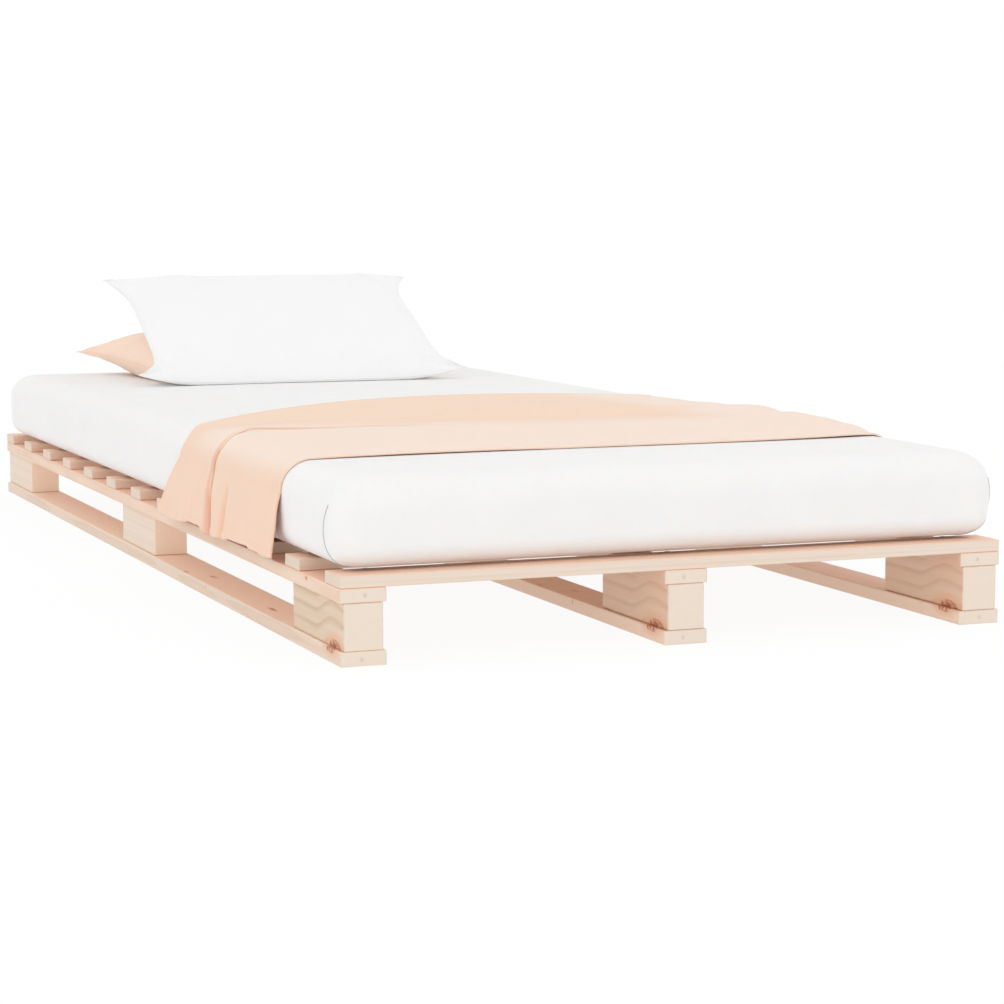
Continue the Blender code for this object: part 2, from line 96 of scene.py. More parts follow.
def mesh_piece(name, points, faces, finish, smooth=True, merge=False):
    """A new object from points in the bed's own frame; merge joins points in the same place."""
    mesh = bpy.data.meshes.new(name)
    mesh.from_pydata([tuple(point) for point in points], [], faces)
    mesh.validate()
    bm = bmesh.new()
    bm.from_mesh(mesh)
    bmesh.ops.recalc_face_normals(bm, faces=bm.faces[:])
    if bm.calc_volume(signed=True) < 0:
        bmesh.ops.reverse_faces(bm, faces=bm.faces[:])
    if merge:
        bmesh.ops.remove_doubles(bm, verts=bm.verts[:], dist=SAME_PLACE)
    bm.to_mesh(mesh)
    bm.free()
    mesh.materials.append(finish)
    if smooth:
        mesh.shade_smooth()
    return linked(name, mesh)


def grid_faces(rows, columns, first=0, wrap=False, closed=False):
    """Faces of a grid stored row by row; wrap joins its last column to its first, closed its last row."""
    grid = first + np.arange(rows * columns).reshape(rows, columns)
    if wrap:
        grid = np.hstack([grid, grid[:, :1]])
    if closed:
        grid = np.vstack([grid, grid[:1]])
    corners = [grid[:-1, :-1], grid[:-1, 1:], grid[1:, 1:], grid[1:, :-1]]
    return np.stack(corners, axis=-1).reshape(-1, 4).tolist()


def rim(grid):
    """The numbers round the edge of a grid of numbers."""
    return np.concatenate([grid[0, :-1], grid[:-1, -1], grid[-1, :0:-1], grid[:0:-1, 0]])


def cord_rings(path, radius, sides, closed):
    """Rings of points round a path, each turned as little as possible from the last."""
    path = np.asarray(path, float)
    ahead = np.roll(path, -1, axis=0) - np.roll(path, 1, axis=0) if closed else np.gradient(path, axis=0)
    ahead /= np.linalg.norm(ahead, axis=1)[:, None]
    side = np.cross(ahead[0], (0.0, 0.0, 1.0) if abs(ahead[0][2]) < 0.9 else (1.0, 0.0, 0.0))
    turns = 2 * np.pi * np.arange(sides)[:, None] / sides
    rings = []
    for place, onward in zip(path, ahead):
        side = side - onward * (side @ onward)
        side /= np.linalg.norm(side)
        rings.append(place + radius * (np.cos(turns) * side + np.sin(turns) * np.cross(side, onward)))
    return np.stack(rings)


def cords(name, paths, radius, sides, finish, closed=False):
    """One piece of thin cords that follow their paths, open ones with closed ends."""
    points, faces = [], []
    for path in paths:
        rings = cord_rings(path, radius, sides, closed)
        first, last = len(points), len(points) + (len(rings) - 1) * sides
        points += list(rings.reshape(-1, 3))
        faces += grid_faces(len(rings), sides, first, wrap=True, closed=closed)
        if not closed:
            faces += [tuple(range(end, end + sides)) for end in (first, last)]
    return mesh_piece(name, points, faces, finish)


def finer(path, count):
    """A path with that many points, rounded by a spline through the given ones."""
    path = np.asarray(path, float)
    run = np.cumsum(np.linalg.norm(np.diff(path, axis=0, prepend=path[:1]), axis=1))
    wanted = np.linspace(0, run[-1], count)
    slopes = np.gradient(path, run, axis=0)
    place = np.clip(np.searchsorted(run, wanted, side="right") - 1, 0, len(run) - 2)
    reach = (run[place + 1] - run[place])[:, None]
    t = (wanted - run[place])[:, None] / reach
    bend = t * (1 - t) * reach * ((1 - t) * slopes[place] - t * slopes[place + 1])
    return path[place] + (path[place + 1] - path[place]) * t * t * (3 - 2 * t) + bend


def eased(value, start, end):
    """0 at start and before it, 1 at end and beyond it, eased between."""
    share = np.clip((value - start) / (end - start), 0.0, 1.0)
    return share * share * (3 - 2 * share)


def bell(value, centre, width):
    return np.exp(-(((value - centre) / width) ** 2))


# Helpers for finishes

THROUGH_RADII = (1.0, 0.5, 0.35)
THROUGH_DEPTH = 0.004


def maths(operation, *terms):
    """A Math node on readings and numbers."""
    finish = next(term.finish for term in terms if isinstance(term, Reading))
    return finish.node("ShaderNodeMath", {"operation": operation}, dict(enumerate(terms)))


def sign(operation, swapped=False):
    """What a sign such as + does between a reading and another term."""

    def worked(reading, other):
        return maths(operation, other, reading) if swapped else maths(operation, reading, other)

    return worked


class Reading:
    """A socket in a finish. Sums and products of readings add Math nodes."""

    def __init__(self, finish, socket):
        self.finish = finish
        self.socket = socket

    def __neg__(self):
        return self * -1.0

    __add__ = __radd__ = sign("ADD")
    __sub__ = sign("SUBTRACT")
    __rsub__ = sign("SUBTRACT", swapped=True)
    __mul__ = __rmul__ = sign("MULTIPLY")
    __truediv__ = sign("DIVIDE")
    __pow__ = sign("POWER")


class Finish:
    """A material's nodes."""

    def __init__(self, name):
        self.material = bpy.data.materials.new(name)
        self.material.use_nodes = True
        self.tree = self.material.node_tree
        self.tree.nodes.clear()

    def node(self, kind, settings=None, feeds=None, output=0):
        """Adds a node: its settings first, then values or readings for its sockets."""
        made = self.tree.nodes.new(kind)
        for setting, value in (settings or {}).items():
            setattr(made, setting, value)
        for socket, value in (feeds or {}).items():
            if isinstance(value, Reading):
                self.tree.links.new(value.socket, made.inputs[socket])
            else:
                made.inputs[socket].default_value = value
        return Reading(self, made.outputs[output]) if made.outputs else made

    def place(self):
        return self.node("ShaderNodeTexCoord", output="Object")

    def parts(self, vector):
        """The three parts of a vector."""
        split = self.node("ShaderNodeSeparateXYZ", feeds={0: vector}).socket.node
        return [Reading(self, socket) for socket in split.outputs]

    def place_parts(self):
        return self.parts(self.place())

    def leans(self):
        """How far the surface faces along X, Y and Z."""
        return self.parts(self.node("ShaderNodeNewGeometry", output="Normal"))

    def joined(self, x, y, z):
        return self.node("ShaderNodeCombineXYZ", feeds={0: x, 1: y, 2: z})

    def rising(self, value, start, end):
        """0 at start and before it, 1 at end and beyond it, eased between."""
        feeds = {"Value": value, "From Min": start, "From Max": end}
        return self.node("ShaderNodeMapRange", {"interpolation_type": "SMOOTHSTEP"}, feeds)

    def bell(self, value, centre, width):
        away = (value - centre) / width
        return maths("EXPONENT", -(away * away))

    def noise(self, place, blot, detail=2.0):
        """Noise from -1 to 1 with blots of about that size."""
        feeds = {"Vector": place, "Scale": 1 / blot, "Detail": detail}
        return self.node("ShaderNodeTexNoise", feeds=feeds) * 2.0 - 1.0

    def chance(self, place):
        """Three fixed random numbers for each separate value of place."""
        drawn = self.node("ShaderNodeTexWhiteNoise", {"noise_dimensions": "3D"}, {"Vector": place}, "Color")
        return self.parts(drawn)

    def blend(self, share, first, second):
        """A colour between two colours."""
        return self.node("ShaderNodeMix", {"data_type": "RGBA"}, {0: share, 6: first, 7: second}, 2)

    def shown(self, shader):
        """Finishes the material with its shader."""
        self.node("ShaderNodeOutputMaterial", feeds={"Surface": shader})
        return self.material

    def surface(self, colour, roughness, height, relief, sheen=0.0, metallic=0.0, through=0.0):
        """A common surface; relief is how high the bumps of height stand."""
        bump = self.node("ShaderNodeBump", feeds={"Height": height, "Distance": relief, "Strength": 1.0})
        feeds = {"Base Color": colour, "Roughness": roughness, "Normal": bump, "Metallic": metallic}
        feeds |= {"Sheen Weight": sheen, "Subsurface Weight": through}
        feeds |= {"Subsurface Radius": THROUGH_RADII, "Subsurface Scale": THROUGH_DEPTH}
        return self.shown(self.node("ShaderNodeBsdfPrincipled", feeds=feeds))


def sized(reading):
    return maths("ABSOLUTE", reading)


def whole(reading):
    return maths("ROUND", reading)


def span(*parts):
    """How far off a place is, from its parts along two or three axes."""
    return sum((part * part for part in parts[1:]), parts[0] * parts[0]) ** 0.5


def shade(red, green, blue):
    """A colour socket's value from the 0 to 255 that a screen shows."""
    parts = [channel / 255 for channel in (red, green, blue)]
    return (*[part / 12.92 if part <= 0.04045 else ((part + 0.055) / 1.055) ** 2.4 for part in parts], 1.0)


# Pine

PINE_END = shade(231, 216, 200)
PINE_END_LATE = shade(216, 194, 172)
# Painted shade: a fuller, warmer colour that stands in for the warm shade inside the frame
PINE_PAINTED_WARM_SHADE = shade(238, 188, 160)
# Painted bounce light: a pale colour that stands in for light bounced onto shaded faces inside the frame
PINE_PAINTED_BOUNCE_LIGHT = shade(254, 231, 210)
PITH_DOT = (0.0038, 0.0008)
BOARD_SHIFT = 0.31
PLAIN_REACH = (0.15, 0.3)
PLAIN_ROWS_SHARE = 0.75


def pine(name, board, pith, ring, marks, tones, tints, knots=(), grain="y", flare=None, phase=None):
    """Planed pine cut from a log whose rings lie round each board's own pith.

    board gives the number that tells boards apart and the place in a board: along the
    grain, across it and up. marks are the shares of late wood along the grain, of late wood
    on the ends and of the grey pith. tones are the pale, warm and late wood. tints are mostly
    painted shading: colours that stand in for the shade and the bounced light on faces inside
    the frame; for the slats one also darkens their end faces. Each tint gives the axis that its
    faces face along, where they lie, how strong and the colour. knots are ellipsoids: middle
    and radii along, across and up, and how dark.
    """
    finish = Finish(name)
    rising, noise, joined, blend = finish.rising, finish.noise, finish.joined, finish.blend
    place = finish.place_parts()
    number, along, across, up = board(*place)
    luck = finish.chance(number)
    lean = [sized(part) for part in finish.leans()]
    end = rising(lean["xy".index(grain)], 0.6, 0.8)
    pale, warm, late_wood = tones
    late_share, end_share, pith_share = marks

    # Rings round a pith that wanders along the board
    shift = luck[0] * 3.0
    drift = noise(joined(along * 0.35 + shift, across * 2.0, up * 2.0), 0.09, 1.0) * 0.0025
    from_pith = across - pith[0] + drift
    above_pith = up - pith[1] + drift * 0.7
    if phase is None:
        from_pith = from_pith + (luck[1] - 0.5) * 0.012
        phase = luck[2] * 5.0
    if flare:
        above_pith = above_pith + flare(finish, along)
    turn = maths("FRACT", span(from_pith, above_pith) / ring + phase)
    late = rising(turn, 0.5, 0.88) * rising(turn, 1.0, 0.91)
    late = late * (noise(joined(along * 0.5, across + shift, up), 0.045, 1.0) * 0.5 + 0.7)

    # Fibres, streaks and pores, long along the grain
    fibre = noise(joined(along * 18.0, (across + shift) * 900.0, up * 900.0), 1.0, 3.0)
    streak = noise(joined(along * 3.0 + shift, across * 160.0, up * 160.0), 1.0)
    pores = noise(joined(across, up * 0.25, along * 0.3), 0.0016)
    tone = luck[1] * 0.3 + streak * 0.45 + 0.35
    if flare:
        plain = rising(along, *PLAIN_REACH)
        late = late * (1.0 - plain * PLAIN_ROWS_SHARE)
        tone = tone + 0.35 - plain * 0.8

    colour = blend(rising(tone, 0.0, 1.0), pale, warm)
    colour = blend(late * late_share, colour, late_wood)
    colour = blend(rising(fibre, 0.1, 0.8) * 0.13, colour, late_wood)
    end_colour = blend(late * end_share + rising(pores, 0.1, 0.7) * 0.12, PINE_END, PINE_END_LATE)
    if pith_share:
        dot = (from_pith * from_pith + above_pith * above_pith * 0.6) ** 0.5
        end_colour = blend(rising(dot, *PITH_DOT) * pith_share, end_colour, shade(196, 184, 174))
    colour = blend(end, colour, end_colour)
    # Tints: mostly painted shading, colour that stands in for shade and bounced light on faces inside the
    # frame
    for axis, where, share, tint in tints:
        strength = rising(lean[axis], 0.5, 0.8) * share
        if where:
            strength = strength * rising(place[where[0]], *where[1:])
        colour = blend(strength, colour, tint)
    if knots:
        mark, halo = 0.0, 0.0
        for middle, radii, dark in knots:
            away = span(*[(value - m) / r for value, m, r in zip((along, across, up), middle, radii)])
            mark = mark + rising(away, 1.1, 0.6) * dark
            halo = halo + rising(away, 2.1, 0.7) * dark
        speckle = noise(joined(along, across, up), 0.0045)
        colour = blend(rising(halo, 0.0, 1.0) * (1.0 - end) * 0.7, colour, shade(228, 178, 142))
        dotted = rising(mark * (speckle + 0.85), 0.3, 0.9)
        knot_colour = blend(rising(speckle, -0.1, 0.4), shade(192, 122, 88), shade(150, 88, 62))
        colour = blend(dotted * (1.0 - end), colour, knot_colour)

    height = fibre * 0.35 + late * 0.5 - rising(pores, 0.2, 0.8) * end * 0.5
    return finish.surface(colour, 0.58 + fibre * 0.05 - late * 0.06, height, 0.00022)


def middle_height(node):
    low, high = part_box(node)
    return (low.z + high.z) / 2


def runner_board(node):
    """Numbers the three long boards from left to right; beyond the foot their knots lie apart."""
    middle_z = middle_height(node)

    def found(x, y, z):
        row = whole(x / RUNNER_X)
        number = row.finish.joined(row, middle_z * 100.0, 0.0)
        shift = (row + 1.0) * BOARD_SHIFT * row.finish.rising(y, -0.93, -0.88)
        return number, y + shift, x - row * RUNNER_X, z - middle_z

    return found


def block_board(x, y, z):
    """Numbers the blocks by row. Only the foot row is cut where a branch grew."""
    column, row = whole(x / RUNNER_X), whole(y / BLOCK_Y)
    along = y - row * BLOCK_Y + (row + 1.0) * 0.5
    number = row.finish.joined(1.0, row, 4.0)
    return number, along, x - column * RUNNER_X, z - middle_height("block_right_head")


def slat_board(x, y, z):
    """Numbers the slats from the foot."""
    count = whole((y + SLAT_Y) / SLAT_PITCH)
    number = count.finish.joined(count, 2.0, 7.0)
    return number, x, y + SLAT_Y - count * SLAT_PITCH, z - middle_height("slat_01")


def block_flare(finish, along):
    """The rings of a block run level, then rise over its branch and stay high."""
    dip = finish.bell(along, 0.012, 0.030) * 0.001
    rise = finish.rising(-along, -0.012, 0.056) * -0.017
    return dip + rise + finish.rising(-along, 0.058, 0.115) * 0.007


# Where the painted shading on faces inside the frame falls: the axis, where that begins and where it is full
RIGHT_OF_EDGE = (0, -0.43, -0.41)
RIGHT_OF_LEFT = (0, -0.3, -0.2)
ON_LEFT = (0, -0.2, -0.3)
BEHIND_FOOT = (1, -0.8, -0.7)
BEYOND_FOOT = (1, -0.6, -0.4)

RUNNER_WOOD = ((0.0, 0.0), 0.0042, (0.4, 0.10, 0.5))
BLOCK_WOOD = ((0.03, -0.06), 0.0145, (0.6, 0.08, 0.0))
BLOCK_PHASE = 0.81
SLAT_WOOD = ((0.02, -0.05), 0.0062, (0.22, 0.2, 0.0))
RAIL_TONES = (shade(241, 216, 196), shade(233, 204, 181), shade(208, 168, 132))
BASE_TONES = (shade(232, 212, 195), shade(226, 202, 181), shade(204, 168, 136))
BLOCK_TONES = (shade(233, 215, 197), shade(219, 193, 166), shade(186, 154, 122))
SLAT_TONES = (shade(231, 216, 201), shade(226, 205, 186), shade(204, 170, 138))
# Painted shading: rail inner sides darker as shade, rail tops and bottoms lighter and redder as bounced
# light
RAIL_PAINTED_SHADING = ((0, RIGHT_OF_EDGE, 0.5, shade(211, 178, 148)), (2, None, 0.8, shade(255, 205, 178)))
# Painted shading: base inner sides and left tops paler as bounced light, tops further right fuller as shade
BASE_PAINTED_SHADING = (
    (0, RIGHT_OF_EDGE, 0.45, shade(255, 225, 201)),
    (2, ON_LEFT, 0.72, PINE_PAINTED_BOUNCE_LIGHT),
    (2, RIGHT_OF_LEFT, 0.3, PINE_PAINTED_WARM_SHADE),
)
# Painted shading: block inner sides fuller as warm shade, ends behind the foot paler as bounced light
BLOCK_PAINTED_SHADING = ((0, RIGHT_OF_EDGE, 0.27, PINE_PAINTED_WARM_SHADE), (1, BEHIND_FOOT, 0.7, PINE_PAINTED_BOUNCE_LIGHT))
# Painted shading: slat tops and bottoms warmer as shade under the mattress, long faces beyond the foot
# fuller
SLAT_PAINTED_SHADING_AND_ENDS = (
    (2, None, 0.55, shade(252, 198, 168)),
    # The slats' end faces darker
    (0, None, 0.45, PINE_END_LATE),
    (1, BEYOND_FOOT, 0.3, PINE_PAINTED_WARM_SHADE),
)
BLOCK_KNOTS = (((-0.066, -0.0247, -0.0285), (0.027, 0.016, 0.0120), 1.0),)
RAIL_KNOTS = (((-0.8675, -0.029, 0.0045), (0.006, 0.005, 0.003), 0.6),)
BASE_KNOTS = (
    ((-0.2791, -0.0245, 0.009), (0.011, 0.003, 0.003), 0.6),
    ((-0.3447, -0.0016, 0.009), (0.014, 0.0035, 0.003), 0.7),
    ((-0.6548, -0.0086, 0.009), (0.015, 0.0035, 0.003), 0.8),
    ((-0.4009, -0.029, 0.005), (0.003, 0.003, 0.004), 0.5),
    ((-0.962, -0.0300, 0.010), (0.023, 0.007, 0.009), 0.8),
)

RAIL_BOARD, BASE_BOARD = runner_board("rail_right"), runner_board("base_board_right")
PINE_FINISHES = {
    "rail_": pine("pine_rail", RAIL_BOARD, *RUNNER_WOOD, RAIL_TONES, RAIL_PAINTED_SHADING, RAIL_KNOTS),
    "base_board_": pine("pine_base_board", BASE_BOARD, *RUNNER_WOOD, BASE_TONES, BASE_PAINTED_SHADING, BASE_KNOTS),
    "block_": pine(
        "pine_block", block_board, *BLOCK_WOOD, BLOCK_TONES, BLOCK_PAINTED_SHADING, BLOCK_KNOTS,
        flare=block_flare, phase=BLOCK_PHASE,
    ),
    "slat_": pine("pine_slat", slat_board, *SLAT_WOOD, SLAT_TONES, SLAT_PAINTED_SHADING_AND_ENDS, grain="x"),
}

for name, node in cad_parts.items():
    for start, finish in PINE_FINISHES.items():
        if name.startswith(start):
            node.material_slots[0].material = finish

# Cloth finishes

THREAD_PITCH = 0.0011
STRIPE_PITCH = 0.014


def woven(finish):
    """The height of a plain weave, laid along whichever two axes the surface faces least."""
    x, y, z = finish.place_parts()
    lean_x, _, lean_z = finish.leans()
    side = finish.rising(sized(lean_x), 0.69, 0.72)
    top = finish.rising(sized(lean_z), 0.69, 0.72)
    threads = (x * (1.0 - side) + y * side, z * (1.0 - top) + y * top)
    warp, weft = [maths("SINE", thread * (2 * math.pi / THREAD_PITCH)) for thread in threads]
    return warp * weft


def cotton(name, colour, deep, sheen=0.15, banded=None, through=0.0):
    """Washed cotton: a fine weave, soft rumples and slightly uneven dye."""
    finish = Finish(name)
    place = finish.place()
    rumple = finish.noise(place, 0.07, 3.0)
    slub = finish.noise(place, 0.004)
    share = finish.rising(rumple, -0.8, 0.9) * 0.35 + finish.rising(slub, -0.2, 0.9) * 0.12
    tinted = finish.blend(share, colour, deep)
    if banded:
        tinted = banded(finish, tinted)
    height = woven(finish) * 0.3 + rumple * 1.2 + slub * 0.25
    return finish.surface(tinted, 0.86 + slub * 0.05, height, 0.00025, sheen, through=through)


def throw_painted_shading(finish, tinted):
    """Painted light and shade: paler on the near panel's top and right end where they face the
    light, fuller beyond the fold where it turns away, deeper in the two creases as painted shade,
    and a deeper underside so that the shade beneath the throw turns red.
    """
    rising, blend = finish.rising, finish.blend
    x, y, z = finish.place_parts()
    beyond = y - throw_fold(x / HALF_WIDTH)
    on_top = rising(z, 0.19, 0.222)
    on_right = rising(x, 0.22, 0.33)
    # Painted light: the top paler on the near panel and at the right end, where it faces the light
    pale = maths("MAXIMUM", rising(-beyond, -0.10, 0.04), on_right)
    tinted = blend(pale * on_top * 0.5, tinted, shade(251, 234, 222))
    # Painted shade: fuller beyond the fold, where the top turns away from the light
    far_painted_shade = rising(beyond, 0.065, 0.17) * (1.0 - on_right)
    tinted = blend(far_painted_shade * on_top * 0.60, tinted, shade(251, 213, 182))

    # Painted shade along the sharp fold and the short fold beside it, where the creases lie in shade
    shift, shift_start, shift_end = FOLD_SIDE_SHIFT
    down = rising(-z, -SIDE_TOP, -THROW_HEM)
    away = beyond + rising(-x, shift_start, shift_end) * shift + down * FOLD_HEM_SHIFT
    side = rising(-x, 0.40, 0.46)
    reach = side * 0.014 + down * 0.018 + 0.0015
    crease = rising(away + down * 0.008, -0.0040, -0.0015) * rising(away / reach, 1.0, 0.0)
    strength = rising(-x, 0.05, 0.28)
    tinted = blend(crease * strength * (side * 0.20 + 0.45), tinted, shade(230, 164, 134))
    from_second = y - SECOND_FOLD_Y - down * down * SECOND_HEM_SHIFT
    second = finish.bell(from_second, 0.0, SECOND_FOLD_WIDTH * 0.8) * rising(down, 0.1, 0.7) * side
    tinted = blend(second * 0.8, tinted, shade(248, 194, 152))

    # Painted bounce light: the underside deeper so that the shade beneath the throw turns red
    lean_x, _, lean_z = finish.leans()
    inward = rising(-(x * lean_x) * 2.2 - lean_z, 0.3, 0.8)
    return blend(inward * 0.7, tinted, shade(240, 160, 124))


def ticking_band(finish, tinted):
    """Fine woven stripes along the mattress's cover."""
    wave = maths("SINE", finish.place_parts()[0] * (2 * math.pi / STRIPE_PITCH))
    return finish.blend(finish.rising(wave, 0.78, 0.9) * 0.5, tinted, shade(176, 186, 196))


# Throw: its sizes, as the solid has them

THROW_REST = 0.0001
THROW_FROM_FOOT = 0.229
THROW_NEAR = THROW_FROM_FOOT - HALF_LENGTH
NEAR_TURN = 0.035
THROW_WIDTH = 0.472
THROW_SKEW = 0.280
THROW_BOW = 0.233
THROW_SLANT_RIGHT = 0.060
THROW_HEM = SLAT_TOP - 0.010
THROW_FLARE = 0.014
FLARE_POWER = 0.75
PUFF_LEFT = 0.004
PUFF_RIGHT = 0.015
# How high the throw lies off the sheet, from its near edge at 0 over the crease at 1 to the far edge
LOFT_SHARES = (
    (0.0, 0.0), (0.3, 0.62), (0.6, 0.85), (0.85, 0.92), (1.0, 0.6), (1.15, 1.0), (1.4, 0.55),
    (1.7, 0.25), (2.0, 0.1),
)
CREASE_FROM_EDGE = 0.325
CREASE_BOW = 0.055
CREASE_SKEW = 0.040
FOLD_WIDTH = 0.016
CREASE_DEPTH_SHARE = 0.55
CLOTH_THICKNESS = 0.0022
HEM_THICKNESS = 0.0032

# The throw's sharp fold, the short fold beside it and its edges, as the cloth shows them

FOLD_PLACES = (-0.523, -0.1447, 0.11, 0.1097)
FOLD_SIDE_SHIFT = (0.077, 0.375, 0.447)
FOLD_HEM_SHIFT = 0.020
FOLD_FADE = (0.085, 0.30)
FOLD_TURNS_DEG = (88.0, 112.0, 68.0)
FOLD_BENDS = (0.0021, 0.0029, 0.0090)
FOLD_STRAIGHTS = (0.0006, 0.0006, 0.0008)
FOLD_NEAR_SHARES = (0.75, 0.75, 0.90)
FOLD_NEAR_RAMPS = (0.013, 0.015, 0.022)
FOLD_FAR_RAMP = 0.045
SECOND_FOLD_Y = -0.5435
SECOND_FOLD_WIDTH = 0.0090
SECOND_FOLD_DEPTH = 0.0085
SECOND_HEM_SHIFT = 0.009
NEAR_SIDE_SHIFT = (0.003, 0.35, 0.44)
NEAR_HEM_SHIFT = (0.0075, 0.18, 0.55)
FAR_SLANT = 0.086
FAR_SLANT_REACH = (0.035, 0.1116)
# How far the near edge stands off the sheet, by its share across the bed
NEAR_LIFTS = (
    (-1.0, 0.0), (-0.9, 0.0002), (-0.8, 0.0008), (-0.65, 0.0013), (-0.5, 0.0014), (-0.33, 0.0011),
    (-0.15, 0.0002), (0.3, 0.00025), (0.5, 0.0006), (0.7, 0.0015), (0.85, 0.0027), (1.0, 0.001),
)
# How high the left hem hangs, by its place along the bed
HEM_WAVE = (
    (-0.78, 0.101), (-0.765, 0.101), (-0.73, 0.099), (-0.712, 0.102), (-0.676, 0.1015),
    (-0.668, 0.1045), (-0.615, 0.103), (-0.582, 0.103), (-0.558, 0.099), (-0.508, 0.097),
    (-0.457, 0.096), (-0.432, 0.103), (-0.379, 0.1035), (-0.352, 0.099), (-0.28, 0.0935),
    (-0.211, 0.096),
)


def throw_crease(share_x):
    """Where the solid's long crease lies along the bed."""
    middle = 1.0 - share_x * share_x
    return middle * CREASE_BOW - (share_x + 1.0) * (CREASE_SKEW / 2) + (THROW_NEAR + CREASE_FROM_EDGE)


def throw_fold(share_x):
    """Where the sharp fold lies on the mattress's top. It works on numbers and on readings."""
    level, slope, curve, swing = FOLD_PLACES
    return ((share_x * swing + curve) * share_x + slope) * share_x + level


SHEET_COTTON = cotton("white_sheet_cotton", shade(243, 242, 241), shade(236, 235, 235), through=0.3)
PILLOW_COTTON = cotton("white_pillowcase_cotton", shade(247, 247, 247), shade(241, 241, 242))
THROW_COLOURS = (shade(247, 210, 185), shade(242, 200, 173))
THROW_COTTON = cotton("peach_throw_cotton", *THROW_COLOURS, 0.25, throw_painted_shading, through=0.35)
TICKING = cotton("mattress_ticking", shade(233, 230, 224), shade(222, 218, 210), 0.1, ticking_band)
# Real corner seams; their grey thread is painted shade, standing in for the dark line of the seam's groove
SEAM_SHADE_THREAD = cotton("sheet_seam_thread_painted_shade", shade(182, 181, 182), shade(168, 168, 170), 0.05)
PEACH_COTTON = cotton("peach_pillowcase_cotton", shade(253, 225, 204), shade(249, 213, 189))


def arch(value, half):
    """1 in the middle and 0 where value reaches half."""
    return 1 - (value / half) ** 2


def crown(x, y):
    """How far the mattress's top swells at (x, y)."""
    return CROWN * np.maximum(arch(x, HALF_WIDTH), 0.0) * np.maximum(arch(y, HALF_LENGTH), 0.0)


# Mattress in its fitted sheet

EDGE_INSET = 0.027
EDGE_RISE = 0.0275
EDGE_LIFT = 0.0038
RECESS_HEIGHT = 0.0075
# How far the sheet's underside lies above the mattress's lowest face, by its distance from the side
UNDER_LINE = (
    (0.3, RECESS_HEIGHT), (0.22, RECESS_HEIGHT), (0.16, RECESS_HEIGHT), (0.13, RECESS_HEIGHT),
    (0.129, 0.0052), (0.128, 0.0022), (0.1255, 0.0006), (0.122, 0.0003), (0.118, 0.0004),
    (0.112, 0.0009), (0.104, 0.0015), (0.095, 0.0022), (0.083, 0.0027), (0.07, 0.0031), (0.056, 0.0034),
    (0.045, 0.0036), (0.036, 0.0037),
)
BULGE = 0.0055
BULGE_LEVEL = (0.168, 0.024)
HEAD_SETBACK = 0.0125
BULGE_PLACE = (0.04, 0.05)
LONG_STEPS = (30, 130, 30)
SHORT_STEPS = (30, 56, 30)
NEAR_CORNER = 0.085
CORNER_POINTS = 15
HEAD_EASE = 0.15
GATHER = (0.040, 0.110, 0.131, 0.128)
PLEAT = (0.0016, 190)
SLOW_PLEAT = (0.0009, 61)
RUMPLE = 0.0003


def side_shares(straight, steps):
    """Shares along a straight side, closer together near the corners."""
    stops = (0, NEAR_CORNER / straight, 1 - NEAR_CORNER / straight, 1)
    runs = [np.linspace(start, end, count + 1)[1:] for start, end, count in zip(stops, stops[1:], steps)]
    return np.concatenate([[0.0], *runs])


LONG_SHARES = side_shares(2 * (HALF_LENGTH - CORNER_RADIUS), LONG_STEPS)
SHORT_SHARES = side_shares(2 * (HALF_WIDTH - CORNER_RADIUS), SHORT_STEPS)


def outline(half_x, half_y, radius):
    """Points round a rectangle with arcs at its corners, anticlockwise."""
    sx, sy = max(half_x - radius, 0.0), max(half_y - radius, 0.0)
    arcs = []
    for corner, middle in enumerate(((sx, sy), (-sx, sy), (-sx, -sy), (sx, -sy))):
        angles = np.radians(90 * corner + np.linspace(0, 90, CORNER_POINTS))
        arcs.append(middle + radius * np.stack([np.cos(angles), np.sin(angles)], axis=1))
    points = []
    for corner, arc in enumerate(arcs):
        shares = LONG_SHARES if corner % 2 else SHORT_SHARES
        run = arcs[(corner + 1) % 4][0] - arc[-1]
        points += [arc, arc[-1] + run * shares[1:-1, None]]
    return np.concatenate(points)


def level_rings(profile, radius, ease_share=0.0):
    """Outlines drawn in by each inset of a profile, at its height; their corners get sharper inward."""
    rings = []
    for inset, z in profile:
        eased_radius = radius * (1 - ease_share * min(inset, TOP_RADIUS) / TOP_RADIUS)
        ring = outline(HALF_WIDTH - inset, HALF_LENGTH - inset, min(eased_radius, HALF_WIDTH - inset))
        rings.append(np.column_stack([ring, np.full(len(ring), z)]))
    return np.stack(rings)


CORNER_SEAM = (
    (-0.4525, -0.96, 0.19), (-0.4532, -0.9592, 0.1855), (-0.4548, -0.958, 0.1771),
    (-0.4555, -0.956, 0.1686), (-0.4546, -0.9519, 0.1585), (-0.4531, -0.9482, 0.1507),
    (-0.4516, -0.9474, 0.1422), (-0.4501, -0.9495, 0.1354), (-0.4468, -0.9532, 0.1283),
    (-0.4427, -0.956, 0.123), (-0.434, -0.9562, 0.1165), (-0.42, -0.95, 0.1142), (-0.39, -0.928, 0.113),
    (-0.345, -0.89, 0.1105),
)
SEAM_SHIFT_RIGHT = 0.020
SEAM_SHIFT_HEAD = 0.022
SEAM_RADIUS = 0.0010
DIMPLE = (0.0011, 0.011)


